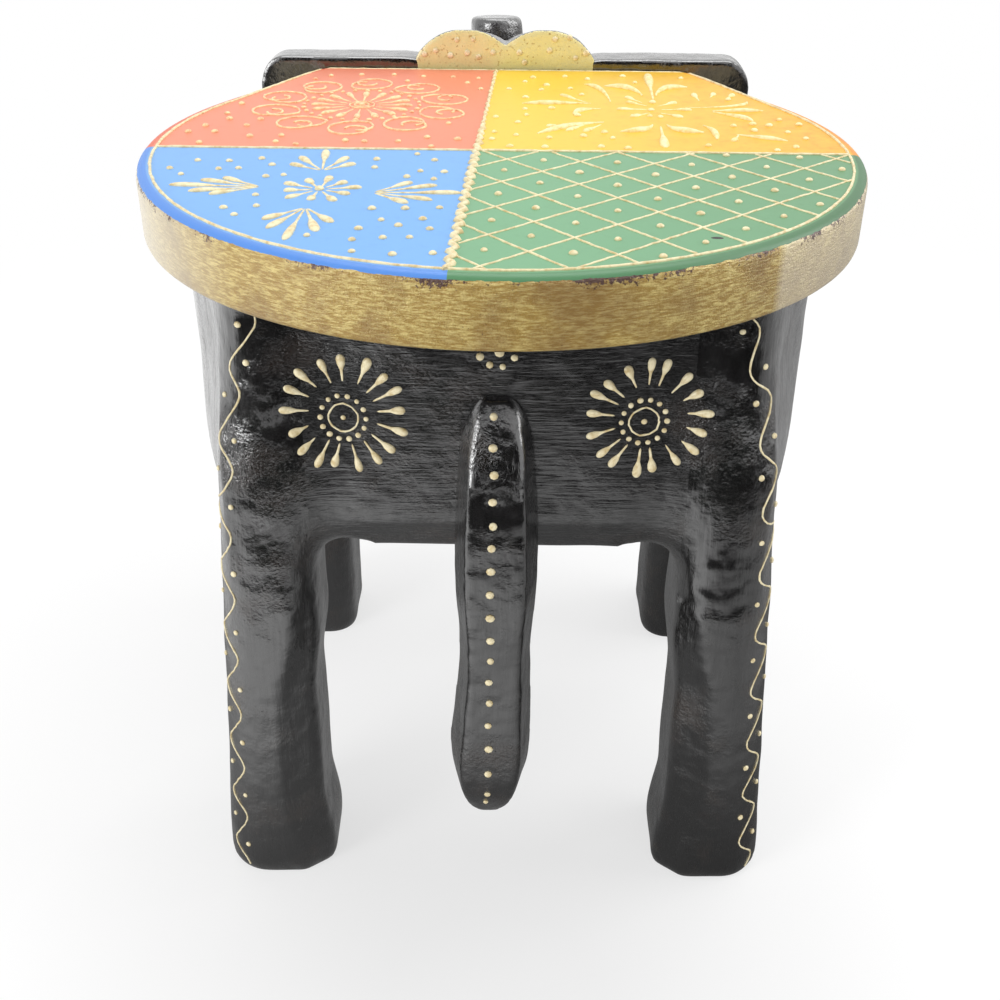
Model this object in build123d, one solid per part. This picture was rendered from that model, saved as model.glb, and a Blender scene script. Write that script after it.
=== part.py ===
from build123d import *
import math
import os

# Carved elephant stool, glued up from blocks of hardwood and held with round dowels.
# Millimetres. +Z is up, +Y points where the elephant looks, +X is on its right-hand side seen from
# behind. The pieces are drawn about the centre of the round seat, and the whole stool is then
# moved so that the origin lies on the floor under the middle of its overall box.

# ---------------------------------------------------------------- seat board
seat_height = 280.0          # floor to the sitting surface
seat_radius = 140.0          # round rear part of the board
seat_thickness = 25.0
seat_front = 132.0           # centre of the round to the flat front edge
seat_taper = 20.0            # degrees by which the straight sides run in towards the front
seat_corner_radius = 5.0     # between the straight sides and the front edge
seat_top_round = 3.5         # worn upper edge
seat_bottom_round = 2.0

# ---------------------------------------------------------------- torso, carved as one barrel
torso_height = 99.5          # belly to the underside of the seat
torso_rear = 105.0           # centre of the seat to the rear panel
torso_side_reach = 121.0     # half width at the middle of the barrel
torso_rear_half_width = 98.0
torso_front_half_width = 88.0
flank_round = 30.0           # lower edge of the barrel sides
chest_round = 12.0           # lower edge of the chest
panel_bevel_height = 16.0    # bevel under the rear panel
panel_bevel_depth = 8.0

# ---------------------------------------------------------------- rear legs
rear_leg_inner = 68.5        # middle of the stool to the inner face
rear_leg_joint = 70.0        # centre of the seat back to the glued face
rear_leg_reach_top = 42.0    # glued face to the rear face, under the seat
rear_leg_reach_foot = 47.6
rear_leg_outer_top = 97.0    # middle of the stool to the outer face, under the seat
rear_leg_outer_foot = 114.5

# ---------------------------------------------------------------- front legs
front_leg_inner = 78.0
front_leg_joint = 50.0
front_leg_reach_top = 54.0
front_leg_reach_foot = 50.0
front_leg_outer_top = 108.0
front_leg_outer_foot = 121.0

# ---------------------------------------------------------------- what all four legs share
knee_drop = 70.5             # belly to where the carved facet is widest
haunch_facet = 20.0          # width of the facet that fades the leg into the panel, at the top
arch_facet = 6.0             # the same at the belly line
knee_facet = 15.0
foot_facet = 12.0
facet_depth = 9.0            # of the facet below the belly, and on the front legs above it too
facet_sink = 1.0             # the rear facet starts this far under the surface of the panel
post_setback = 0.5           # the post keeps clear of the plane of the glued faces above the belly
leg_outer_round = 17.0       # long outer corner
leg_joint_round_foot = 14.0  # corners on the glued side, at the foot
leg_edge_round = 2.0         # softened small corners
sole_round = 2.5             # edge of the sole
sole_height = 6.0            # straight band round the foot, just above the floor
knee_round_share = 0.6       # joint corners at the knee against those at the foot
corner_room_share = 0.7      # most of a leg's outer face that its long corner may take up

# ---------------------------------------------------------------- tail
tail_top_drop = 58.0         # sitting surface to the upper end
tail_tip = 48.0              # height of the lower end
tail_half_width = 16.0       # at the panel
tail_thickness = 21.0
tail_front_share = 0.68      # width of the outer face against the face on the panel
tail_edge_round = 1.5
# down the tail: how far along, share of the width, share of the thickness
tail_stations = ((0.00, 0.42, 0.12), (0.05, 0.72, 0.42), (0.13, 0.88, 0.76), (0.24, 0.95, 0.95),
                 (0.38, 1.00, 1.00), (0.59, 0.86, 0.94), (0.83, 0.93, 0.97), (0.94, 0.70, 0.80),
                 (1.00, 0.33, 0.50))

# ---------------------------------------------------------------- head block
head_half_width = 43.5
head_thickness = 46.0
head_crown = 18.0            # top of the domes above the seat
head_valley = 11.0           # the notch between the domes above the seat
head_shoulder = 5.0          # outer foot of each dome above the seat
crown_place = 24.0           # middle of the head to the top of a dome
head_cheek_drop = 75.0       # sitting surface to where the cheeks start to run in
head_chin_drop = 104.0       # sitting surface to the chin
chin_half_width = 28.0
chin_setback = 14.0          # the chin behind the face
brow_setback = 22.0          # where the brow starts to fall, behind the face
brow_drop = 30.0             # height of the rounded brow
head_front_round = 9.0

# ---------------------------------------------------------------- ears
ear_reach = 119.0            # middle of the stool to the outer edge
ear_thickness = 22.0
ear_top = 0.5                # above the seat
ear_drop = 80.0              # top edge to the lobe
ear_root_drop = 58.0         # top edge to the lower end of the glued edge
ear_corner = 12.0            # upper outer corner
ear_pinch = 7.0              # how far the edge has run in beside the lobe
ear_edge_round = 5.0

# ---------------------------------------------------------------- trunk
trunk_root_drop = 64.0       # sitting surface to where the middle line meets the face
trunk_root_radius = 23.0
trunk_tip_radius = 14.0
trunk_droop = 25.0           # degrees the trunk points down where it leaves the face
trunk_bend_radius = 37.0     # the big bend upwards
trunk_bend = 125.0           # degrees turned in that bend
trunk_flick_radius = 110.0   # the tip turns forward again
trunk_flick = 16.0           # degrees
trunk_lean = 6.0             # how far the tip stands to the left of the middle
trunk_tip_round = 3.0
trunk_sections = 11          # round sections along the trunk
trunk_thinning = 0.8         # below 1 the trunk thins out sooner

# ---------------------------------------------------------------- tusks
tusk_place = 33.0            # middle of the head to a tusk
tusk_drop = 84.0             # sitting surface to the root of a tusk
tusk_radius = 5.5
tusk_point_radius = 1.6
tusk_length = 38.0
tusk_rise = 14.0
tusk_peg_radius = 4.0
tusk_peg_length = 14.0

# ---------------------------------------------------------------- dowels
glue_gap = 0.05              # radial room for glue round every dowel
end_gap = 1.0                # room for glue at both ends of a dowel hole
seat_dowel_radius = 5.0
seat_dowel_body_depth = 24.0
seat_dowel_seat_depth = 14.0
seat_dowel_x = 45.0
seat_dowel_y = 60.0
leg_dowel_radius = 5.0
leg_dowel_body_depth = 26.0
leg_dowel_leg_depth = 20.0
leg_dowel_spacing = 46.0
leg_dowel_lift = 24.0        # belly to the lower dowel
head_dowel_radius = 6.0
head_dowel_body_depth = 30.0
head_dowel_head_depth = 26.0
head_dowel_x = 20.0
head_dowel_drops = (83.0, 42.0)   # below the sitting surface, as on the ears and the tail
ear_dowel_radius = 3.0
ear_dowel_head_depth = 14.0
ear_dowel_ear_depth = 18.0
ear_dowel_drops = (42.0, 12.0)
trunk_dowel_radius = 8.0
trunk_dowel_depth = 18.0
tail_dowel_radius = 4.0
tail_dowel_body_depth = 22.0
tail_dowel_tail_depth = 11.0
tail_dowel_drops = (102.0, 80.0)

# ---------------------------------------------------------------- worked out
seat_underside = seat_height - seat_thickness
belly_height = seat_underside - torso_height
knee_height = belly_height - knee_drop
head_back = seat_front
head_cheek = seat_height - head_cheek_drop
head_chin = seat_height - head_chin_drop
trunk_root_height = seat_height - trunk_root_drop
tusk_height = seat_height - tusk_drop
tail_top = seat_height - tail_top_drop
head_front = head_back + head_thickness
SIDES = {"left": -1, "right": 1}
REAR, FRONT = -1, 1


def place(x, y, z):
    """Shorthand for a position."""
    return Location((x, y, z))


def round_peg(start, direction, radius, length):
    """A cylinder of the given length that starts at a point and runs along a direction."""
    return Plane(origin=start, z_dir=direction) * Cylinder(
        radius, length, align=(Align.CENTER, Align.CENTER, Align.MIN))


def dowel_between(seam, direction, radius, back_depth, front_depth):
    """A dowel that crosses a glued seam, and the hole it sits in, as (dowel, hole)."""
    way = Vector(direction)
    start = Vector(seam) - way * back_depth
    dowel = round_peg(start, way, radius, back_depth + front_depth)
    hole = round_peg(start - way * end_gap, way, radius + glue_gap,
                     back_depth + front_depth + 2 * end_gap)
    return dowel, hole


# ---------------------------------------------------------------- dowel places
def below_seat(drops):
    """Heights that lie these distances below the sitting surface."""
    return [seat_height - drop for drop in drops]


def seat_dowel_pairs():
    """Four upright dowels between the body and the seat."""
    return [dowel_between((x * seat_dowel_x, y * seat_dowel_y, seat_underside), (0, 0, 1),
                          seat_dowel_radius, seat_dowel_body_depth, seat_dowel_seat_depth)
            for x in (-1, 1) for y in (-1, 1)]


def leg_dowel_pairs(end, side):
    """Two level dowels between the body and one leg, at the middle of the glued face."""
    if end == REAR:
        inner, joint, reach = rear_leg_inner, rear_leg_joint, torso_rear - rear_leg_joint
    else:
        inner, joint, reach = front_leg_inner, front_leg_joint, front_leg_reach_top
    y = end * (joint + reach / 2)
    heights = [belly_height + leg_dowel_lift + step * leg_dowel_spacing for step in (0, 1)]
    return [dowel_between((side * inner, y, height), (side, 0, 0), leg_dowel_radius,
                          leg_dowel_body_depth, leg_dowel_leg_depth) for height in heights]


def head_dowel_pairs():
    """Four level dowels between the chest and the head."""
    return [dowel_between((x * head_dowel_x, head_back, z), (0, 1, 0), head_dowel_radius,
                          head_dowel_body_depth, head_dowel_head_depth)
            for x in (-1, 1) for z in below_seat(head_dowel_drops)]


def ear_dowel_pairs(side):
    """Two level dowels between the head and one ear."""
    y = head_back + ear_thickness / 2
    return [dowel_between((side * head_half_width, y, z), (side, 0, 0), ear_dowel_radius,
                          ear_dowel_head_depth, ear_dowel_ear_depth) for z in below_seat(ear_dowel_drops)]


def trunk_dowel_pairs():
    """One stout dowel between the face and the root of the trunk."""
    return [dowel_between((0, head_front, trunk_root_height), (0, 1, 0), trunk_dowel_radius,
                          trunk_dowel_depth, trunk_dowel_depth)]


def tail_dowel_pairs():
    """Two level dowels between the rear panel and the tail."""
    return [dowel_between((0, -torso_rear, z), (0, -1, 0), tail_dowel_radius,
                          tail_dowel_body_depth, tail_dowel_tail_depth)
            for z in below_seat(tail_dowel_drops)]


def drilled(solid, pairs):
    """The solid with the holes of the given dowels drilled into it, one after another."""
    for _, hole in pairs:
        solid = solid - hole
    return solid


def pegs(*groups):
    """The dowels of several groups, as one set of separate solids."""
    return Compound(children=[dowel.solid() for group in groups for dowel, _ in group])


# ---------------------------------------------------------------- seat
def seat_outline():
    """Round at the rear, with two straight sides that leave the round at a tangent and run in
    to the flat front edge."""
    lean = math.radians(seat_taper)
    leave_x, leave_y = seat_radius * math.cos(lean), seat_radius * math.sin(lean)
    corner_x = leave_x - (seat_front - leave_y) * math.tan(lean)
    with BuildSketch() as outline:
        with BuildLine():
            ThreePointArc((leave_x, leave_y), (0, -seat_radius), (-leave_x, leave_y))
            Polyline((leave_x, leave_y), (corner_x, seat_front),
                     (-corner_x, seat_front), (-leave_x, leave_y))
        make_face()
        fillet(outline.vertices().group_by(Axis.Y)[-1], seat_corner_radius)
    return outline.sketch


def seat_board():
    """Thick board with softened edges, drilled from below."""
    board = place(0, 0, seat_underside) * extrude(seat_outline(), seat_thickness)
    board = fillet(board.edges().group_by(Axis.Z)[-1], seat_top_round)
    board = fillet(board.edges().group_by(Axis.Z)[0], seat_bottom_round)
    return drilled(board, seat_dowel_pairs())


# ---------------------------------------------------------------- body
def torso_form():
    """The barrel of the animal before the corners are cut out for the legs."""
    with BuildSketch(Plane.XY.offset(belly_height)) as plan:
        with BuildLine():
            flank = ThreePointArc((torso_rear_half_width, -torso_rear), (torso_side_reach, 0),
                                  (torso_front_half_width, seat_front))
            chest = Line(flank @ 1, (-torso_front_half_width, seat_front))
            other = ThreePointArc(chest @ 1, (-torso_side_reach, 0),
                                  (-torso_rear_half_width, -torso_rear))
            Line(other @ 1, flank @ 0)
        make_face()
    form = extrude(plan.sketch, torso_height)
    form = fillet(form.edges().group_by(Axis.Z)[0].filter_by(GeomType.CIRCLE), flank_round)
    form = fillet(form.edges().group_by(Axis.Z)[0].sort_by(Axis.Y)[-1], chest_round)
    bevel = Plane.YZ * Polygon((-torso_rear, belly_height), (-torso_rear + panel_bevel_depth,
                               belly_height), (-torso_rear, belly_height + panel_bevel_height),
                               align=None)
    return form - extrude(bevel, torso_side_reach, both=True)


def corner_block(end, side):
    """The corner of the torso that belongs to one leg."""
    inner, joint = ((rear_leg_inner, rear_leg_joint) if end == REAR
                    else (front_leg_inner, front_leg_joint))
    length = torso_side_reach + torso_rear
    block = Box(length, length, 2 * torso_height, align=(Align.MIN, Align.MIN, Align.CENTER))
    block = place(inner, joint, belly_height) * block
    if end == REAR:
        block = mirror(block, Plane.XZ)
    return block if side > 0 else mirror(block, Plane.YZ)


def body_block():
    """Torso with four corners cut out square for the legs and drilled for every neighbour."""
    body = torso_form() - [corner_block(end, side) for end in (REAR, FRONT)
                           for side in SIDES.values()]
    pairs = seat_dowel_pairs() + head_dowel_pairs() + tail_dowel_pairs()
    for end in (REAR, FRONT):
        for side in SIDES.values():
            pairs += leg_dowel_pairs(end, side)
    return drilled(body, pairs)


# ---------------------------------------------------------------- legs
def leg_section(height, inner, joint, outer, far, facet, facet_start, joint_round):
    """Level cut through a leg: square on the glued side, rounded outside, with a facet on the
    inner far corner that starts on the inner face."""
    outer_round = min(leg_outer_round, corner_room_share * (outer - inner - facet))
    points = [(inner, joint), (outer, joint), (outer, far), (inner + facet, far),
              (inner, facet_start)]
    radii = [joint_round, joint_round, outer_round, leg_edge_round, leg_edge_round]
    return Plane.XY.offset(height) * make_face(FilletPolyline(*points, radius=radii, close=True))


def leg_post(inner, joint, outer_top, outer_foot, reach_top, reach_foot, panel=None):
    """Post from under the seat to the floor, spreading towards the foot. Beside a panel of the
    torso the facet comes out of that panel."""
    sections = []
    for height, facet, joint_round, setback in (
            (seat_underside, haunch_facet, leg_edge_round, post_setback),
            (belly_height, arch_facet, leg_edge_round, post_setback),
            (knee_height, knee_facet, knee_round_share * leg_joint_round_foot, 0),
            (sole_height, foot_facet, leg_joint_round_foot, 0)):
        spread = 1 - height / seat_underside
        outer = outer_top + (outer_foot - outer_top) * spread
        far = joint + reach_top + (reach_foot - reach_top) * spread
        beside_panel = panel and height >= belly_height
        facet_start = panel - facet_sink if beside_panel else far - facet_depth
        sections.append(leg_section(height, inner + setback, joint + setback, outer, far, facet,
                                    facet_start, joint_round))
    sole = extrude(sections[-1], -sole_height)
    return loft(sections) + fillet(sole.edges().group_by(Axis.Z)[0], sole_round)


def leg(end, side):
    """Corner of the torso and the post below it, in one piece of upright grain."""
    if end == REAR:
        post = leg_post(rear_leg_inner, rear_leg_joint, rear_leg_outer_top, rear_leg_outer_foot,
                        rear_leg_reach_top, rear_leg_reach_foot, torso_rear)
        post = mirror(post, Plane.XZ)
    else:
        post = leg_post(front_leg_inner, front_leg_joint, front_leg_outer_top,
                        front_leg_outer_foot, front_leg_reach_top, front_leg_reach_foot)
    if side < 0:
        post = mirror(post, Plane.YZ)
    haunch = torso_form() & corner_block(end, side)
    return drilled(haunch + post, leg_dowel_pairs(end, side))


# ---------------------------------------------------------------- tail
def tail_section(height, half_width, thickness):
    """Level cut through the tail: flat on the panel, narrower on the outer face."""
    front = half_width * tail_front_share
    points = [(-half_width, -torso_rear), (-front, -torso_rear - thickness),
              (front, -torso_rear - thickness), (half_width, -torso_rear)]
    edge = min(tail_edge_round, thickness / 4)
    return Plane.XY.offset(height) * make_face(FilletPolyline(*points, radius=edge, close=True))


def tail():
    """Carved tail that swells out of the panel, hangs past the belly and ends in a blunt tip."""
    length = tail_top - tail_tip
    sections = [tail_section(tail_top - along * length, wide * tail_half_width,
                             thick * tail_thickness) for along, wide, thick in tail_stations]
    return drilled(loft(sections), tail_dowel_pairs())


# ---------------------------------------------------------------- head
def head_profile():
    """Front view of the head: two domes on top, straight cheeks and a narrower chin."""
    valley, crown = seat_height + head_valley, seat_height + head_crown
    shoulder = seat_height + head_shoulder
    with BuildSketch(Plane.XZ) as profile:
        with BuildLine():
            right = ThreePointArc((0, valley), (crown_place, crown), (head_half_width, shoulder))
            cheek = Line(right @ 1, (head_half_width, head_cheek))
            jaw = Line(cheek @ 1, (chin_half_width, head_chin))
            chin = Line(jaw @ 1, (-chin_half_width, head_chin))
            other_jaw = Line(chin @ 1, (-head_half_width, head_cheek))
            other_cheek = Line(other_jaw @ 1, (-head_half_width, shoulder))
            ThreePointArc(other_cheek @ 1, (-crown_place, crown), (0, valley))
        make_face()
    return profile.sketch


def head_side_profile():
    """Side view of the head: flat back, rounded brow, flat face and a chin that runs back."""
    crown = seat_height + head_crown
    with BuildSketch(Plane.YZ) as profile:
        with BuildLine():
            top = Line((head_back, crown), (head_front - brow_setback, crown))
            brow = TangentArc(top @ 1, (head_front, crown - brow_drop), tangent=(1, 0))
            face = Line(brow @ 1, (head_front, head_cheek - chin_setback))
            jaw = Line(face @ 1, (head_front - chin_setback, head_chin))
            Polyline(jaw @ 1, (head_back, head_chin), top @ 0)
        make_face()
    return profile.sketch


def head_block():
    """Flat back against the chest and the seat; domes, brow, cheeks and chin in front."""
    head = place(0, head_back, 0) * extrude(head_profile(), -head_thickness)
    head = fillet(head.edges().group_by(Axis.Y)[-1], head_front_round)
    head = head & extrude(head_side_profile(), head_half_width, both=True)
    pairs = head_dowel_pairs() + trunk_dowel_pairs()
    for side in SIDES.values():
        pairs += ear_dowel_pairs(side)
    head = drilled(head, pairs)
    for side in SIDES.values():
        head = head - tusk_peg(side, end_gap, glue_gap)
    return head


def ear(side):
    """Slab of an ear: level top edge, round outer corner, full lobe, glued to the head's side."""
    top = seat_height + ear_top
    corner_x, corner_z = ear_reach - ear_corner, top - ear_corner
    diagonal = ear_corner * (1 - math.sqrt(0.5))
    corner_mid = (ear_reach - diagonal, top - diagonal)
    lobe_x = (head_half_width + ear_reach) / 2
    with BuildSketch(Plane.XZ) as outline:
        with BuildLine():
            brim = Line((head_half_width, top), (corner_x, top))
            corner = ThreePointArc(brim @ 1, corner_mid, (ear_reach, corner_z))
            edge = Spline(corner @ 1, (ear_reach - ear_pinch, top - ear_root_drop),
                          (lobe_x + ear_corner, top - ear_drop),
                          (head_half_width, top - ear_root_drop), tangents=((0, -1), (-1, 0.9)))
            Line(edge @ 1, brim @ 0)
        make_face()
    slab = place(0, head_back, 0) * extrude(outline.sketch, -ear_thickness)
    front_edges = slab.edges().group_by(Axis.Y)[-1]
    root = front_edges.sort_by(Axis.X)[0]
    slab = fillet([each for each in front_edges if each != root], ear_edge_round)
    if side < 0:
        slab = mirror(slab, Plane.YZ)
    return drilled(slab, ear_dowel_pairs(side))


def trunk_line():
    """Middle line of the raised trunk seen from the side, as (forward, up): down a little out
    of the face, round the big bend and up, with a flick forward at the tip."""
    droop = math.radians(trunk_droop)
    way = Vector(math.cos(droop), -math.sin(droop))
    face = Vector(head_front, trunk_root_height)
    with BuildLine() as line:
        Line(face - way * trunk_root_radius, face)
        bend = JernArc(face, way, trunk_bend_radius, trunk_bend)
        JernArc(bend @ 1, bend % 1, trunk_flick_radius, -trunk_flick)
    return line.wire()


def trunk():
    """Round trunk that thins out along its line, cut flat where it meets the face."""
    line = trunk_line()
    sections = []
    for step in range(trunk_sections):
        along = step / (trunk_sections - 1)
        spot, way = line @ along, line % along
        thinned = along ** trunk_thinning
        radius = trunk_root_radius + (trunk_tip_radius - trunk_root_radius) * thinned
        level = Plane(origin=(-trunk_lean * along ** 2, spot.X, spot.Y), x_dir=(1, 0, 0),
                      z_dir=(0, way.X, way.Y))
        sections.append(level * Circle(radius))
    body = loft(sections)
    body = fillet(body.edges().sort_by(Axis.Z)[-1], trunk_tip_round)
    behind = Box(seat_radius, head_thickness, seat_radius,
                 align=(Align.CENTER, Align.MAX, Align.CENTER))
    body = body - place(0, head_front, trunk_root_height) * behind
    return drilled(body, trunk_dowel_pairs())


def tusk_peg(side, extra_length=0.0, extra_radius=0.0):
    """Round peg of a tusk inside the face, or its hole when given extra room."""
    length = tusk_peg_length + extra_length
    return round_peg((side * tusk_place, head_front - length, tusk_height), (0, 1, 0),
                     tusk_peg_radius + extra_radius, length)


def tusk(side):
    """Tapered tusk that curves upwards, with a peg at its root."""
    root = (side * tusk_place, head_front, tusk_height)
    point = (side * tusk_place, head_front + tusk_length, tusk_height + tusk_rise)
    line = Spline(root, point, tangents=((0, 1, 0), (0, 1, 1.2)))
    sections = []
    for along in (0, 0.5, 1):
        radius = tusk_radius + (tusk_point_radius - tusk_radius) * along
        sections.append(Plane(origin=line @ along, x_dir=(1, 0, 0), z_dir=line % along)
                        * Circle(radius))
    return loft(sections) + tusk_peg(side)


# ---------------------------------------------------------------- assembly
def stool():
    """Every piece by name, drawn about the centre of the seat."""
    pieces = {"seat_board": seat_board(), "body_block": body_block(), "tail": tail(),
              "head_block": head_block(), "trunk": trunk()}
    for name, side in SIDES.items():
        pieces["leg_rear_" + name] = leg(REAR, side)
        pieces["leg_front_" + name] = leg(FRONT, side)
        pieces["ear_" + name] = ear(side)
        pieces["tusk_" + name] = tusk(side)
    pieces["seat_dowels"] = pegs(seat_dowel_pairs())
    pieces["leg_dowels"] = pegs(*[leg_dowel_pairs(end, side) for end in (REAR, FRONT)
                                  for side in SIDES.values()])
    pieces["head_dowels"] = pegs(head_dowel_pairs())
    pieces["ear_dowels"] = pegs(*[ear_dowel_pairs(side) for side in SIDES.values()])
    pieces["trunk_dowel"] = pegs(trunk_dowel_pairs())
    pieces["tail_dowels"] = pegs(tail_dowel_pairs())
    return pieces


def centred(pieces):
    """The pieces moved so that the origin is on the floor under the middle of the stool."""
    boxes = [piece.bounding_box() for piece in pieces.values()]
    rear = min(box.min.Y for box in boxes)
    front = max(box.max.Y for box in boxes)
    shift = place(0, -(rear + front) / 2, 0)
    return {name: shift * piece for name, piece in pieces.items()}


os.makedirs("parts", exist_ok=True)
for node, solid in centred(stool()).items():
    export_step(solid, "parts/" + node + ".step")
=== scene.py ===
"""Looks of a carved, lacquered and cone-painted elephant stool.

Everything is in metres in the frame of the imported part: +Z is up and +Y the way the elephant
looks. Ornament is laid out in millimetres on a flat plan and cast onto the surface under it.
"""

import logging
import math
import random
from dataclasses import dataclass, field
from enum import Enum
from typing import Callable, Optional, Sequence, Union

import bmesh
import bpy
from mathutils import Matrix, Vector
from mathutils.bvhtree import BVHTree


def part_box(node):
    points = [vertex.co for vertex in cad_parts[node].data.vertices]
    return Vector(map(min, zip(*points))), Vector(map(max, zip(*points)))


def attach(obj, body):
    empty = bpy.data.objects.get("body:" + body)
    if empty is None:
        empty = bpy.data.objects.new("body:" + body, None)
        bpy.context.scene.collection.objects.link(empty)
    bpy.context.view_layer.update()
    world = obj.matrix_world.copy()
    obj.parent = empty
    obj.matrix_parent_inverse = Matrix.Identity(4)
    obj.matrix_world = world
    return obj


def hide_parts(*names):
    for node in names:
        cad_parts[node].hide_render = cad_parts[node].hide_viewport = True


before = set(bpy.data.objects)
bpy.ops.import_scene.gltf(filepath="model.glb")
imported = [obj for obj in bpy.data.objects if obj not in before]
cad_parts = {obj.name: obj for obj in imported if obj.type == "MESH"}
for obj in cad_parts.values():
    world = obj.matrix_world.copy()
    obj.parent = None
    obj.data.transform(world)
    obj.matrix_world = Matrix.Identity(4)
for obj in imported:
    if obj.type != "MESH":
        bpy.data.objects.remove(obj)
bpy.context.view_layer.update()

LOG = logging.getLogger("stool")
MM = 0.001
TOUCHING = 0.01 * MM
HAIR = 0.1 * MM
# Paste is modelled one unit in half width: how high it stands, and how long a drop's tail is.
PASTE_RISE = 0.62
TAIL = 4.7
SIDES = (("left", -1), ("right", 1))
Plan = tuple[float, float]
Piece = bpy.types.Object
Item = Union[bmesh.types.BMVert, bmesh.types.BMEdge, bmesh.types.BMFace]


# ------------------------------------------------------------------ the bench: shaping pieces
def only(*pieces: Piece) -> None:
    """Selects these pieces alone, out of edit mode, and makes the first one active."""
    if bpy.context.object and bpy.context.object.mode == "EDIT":
        bpy.ops.object.mode_set(mode="OBJECT")
    bpy.ops.object.select_all(action="DESELECT")
    for piece in pieces:
        piece.select_set(True)
    bpy.context.view_layer.objects.active = pieces[0]


def named(name: str) -> Piece:
    """Names the active piece and its mesh, with its place put into the mesh."""
    piece = bpy.context.object
    piece.name = piece.data.name = name
    bpy.ops.object.transform_apply(location=True, rotation=True, scale=True)
    return piece


def modify(piece: Piece, kind: str, **settings: object) -> None:
    """Adds a modifier and applies it.

    Args:
        piece: The piece that is changed.
        kind: Blender's name of the modifier.
        settings: The modifier's settings by name.
    """
    only(piece)
    modifier = piece.modifiers.new(kind.lower(), kind)
    for name, value in settings.items():
        setattr(modifier, name, value)
    bpy.ops.object.modifier_apply(modifier=modifier.name)


def pick(piece: Piece, mode: str, test: Callable[[Item], bool]) -> None:
    """Goes into edit mode with only the vertices, edges or faces selected that pass a test.

    Args:
        piece: The piece to edit.
        mode: "VERT", "EDGE" or "FACE".
        test: Says of one vertex, edge or face whether it is wanted.
    """
    only(piece)
    bpy.ops.object.mode_set(mode="EDIT")
    bpy.ops.mesh.select_mode(type=mode)
    bpy.ops.mesh.select_all(action="DESELECT")
    shape = bmesh.from_edit_mesh(piece.data)
    for item in {"VERT": shape.verts, "EDGE": shape.edges, "FACE": shape.faces}[mode]:
        if test(item):
            item.select_set(True)
    shape.select_flush_mode()
    bmesh.update_edit_mesh(piece.data)


def in_box(side: int, low: Sequence[float], high: Sequence[float]) -> Callable[[Item], bool]:
    """A test for vertices inside a box on the right or, mirrored, on the left.

    Args:
        side: 1 for the right and -1 for the left.
        low: The lowest corner of the box on the right, in millimetres.
        high: Its highest corner.

    Returns:
        The test.
    """
    def test(vert: Item) -> bool:
        """Whether a vertex lies inside."""
        place = (vert.co.x * side, vert.co.y, vert.co.z)
        return all(least * MM < value < most * MM
                   for least, value, most in zip(low, place, high))
    return test


def done() -> None:
    """Leaves edit mode."""
    bpy.ops.object.mode_set(mode="OBJECT")


def copied(piece: Piece, name: str) -> Piece:
    """A copy of a piece with a mesh of its own."""
    copy = piece.copy()
    copy.data = piece.data.copy()
    copy.name = copy.data.name = name
    bpy.context.scene.collection.objects.link(copy)
    return copy


def from_nodes(name: str, *nodes: str) -> Piece:
    """A working copy of one or more CAD nodes, joined and with its seams merged.

    Args:
        name: The new piece's name.
        nodes: The nodes to copy.

    Returns:
        The new piece, free of the nodes.
    """
    copies = []
    for node in nodes:
        copy = copied(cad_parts[node], name)
        copy.parent = None
        for key in list(copy.keys()):
            del copy[key]
        copy.data.materials.clear()
        copies.append(copy)
    only(*copies)
    if len(copies) > 1:
        bpy.ops.object.join()
    piece = bpy.context.object
    piece.name = piece.data.name = name
    pick(piece, "VERT", lambda vert: True)
    bpy.ops.mesh.remove_doubles(threshold=TOUCHING)
    done()
    return piece


def soften(piece: Piece, grid: float, passes: int) -> None:
    """Turns a hard-edged copy into a hand-carved form: an even skin, then sanded edges.

    Args:
        piece: The piece to soften.
        grid: Size of the skin's faces.
        passes: How often the skin is smoothed.
    """
    modify(piece, "REMESH", mode="VOXEL", voxel_size=grid, adaptivity=0.0)
    modify(piece, "SMOOTH", factor=0.5, iterations=passes)


def gouge(piece: Piece, depth: float, width: float, level: float = 0.95) -> None:
    """Shallow unevenness left by the gouge and the rasp.

    Args:
        piece: The piece to roughen.
        depth: From the highest to the lowest place.
        width: Size of one hollow.
        level: Share of the depth that is cut inwards.
    """
    hollows = bpy.data.textures.new(piece.name + "_hollows", "CLOUDS")
    hollows.noise_scale = width
    hollows.noise_depth = 1
    modify(piece, "DISPLACE", texture=hollows, texture_coords="LOCAL", strength=depth,
           mid_level=level)
    bpy.data.textures.remove(hollows)


def grown(piece: Piece, way: Vector, length: float) -> None:
    """Draws out the flat end that is glued to a neighbour, so that sanding doesn't round it.

    Args:
        piece: The piece, with its seams merged.
        way: The direction in which the glued end faces.
        length: How far the end is drawn out.
    """
    end = max(way.dot(vert.co) for vert in piece.data.vertices)
    pick(piece, "FACE", lambda face: face.normal.dot(way) > 0.99
         and way.dot(face.calc_center_median()) > end - 2 * HAIR)
    bpy.ops.mesh.extrude_region_move(TRANSFORM_OT_translate={"value": way * length})
    done()


def drawn(piece: Piece, test: Callable[[Item], bool], way: Sequence[float], reach: float,
          falloff: str = "SMOOTH") -> None:
    """Shifts part of a piece, and what lies round it less and less.

    Args:
        piece: The piece.
        test: Says of a vertex whether it is shifted the whole way.
        way: How far it goes.
        reach: How far away the last vertex lies that still follows.
        falloff: Blender's name for how the others follow.
    """
    pick(piece, "VERT", test)
    bpy.ops.transform.translate(value=way, use_proportional_edit=True,
                                proportional_edit_falloff=falloff, proportional_size=reach)
    done()


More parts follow.
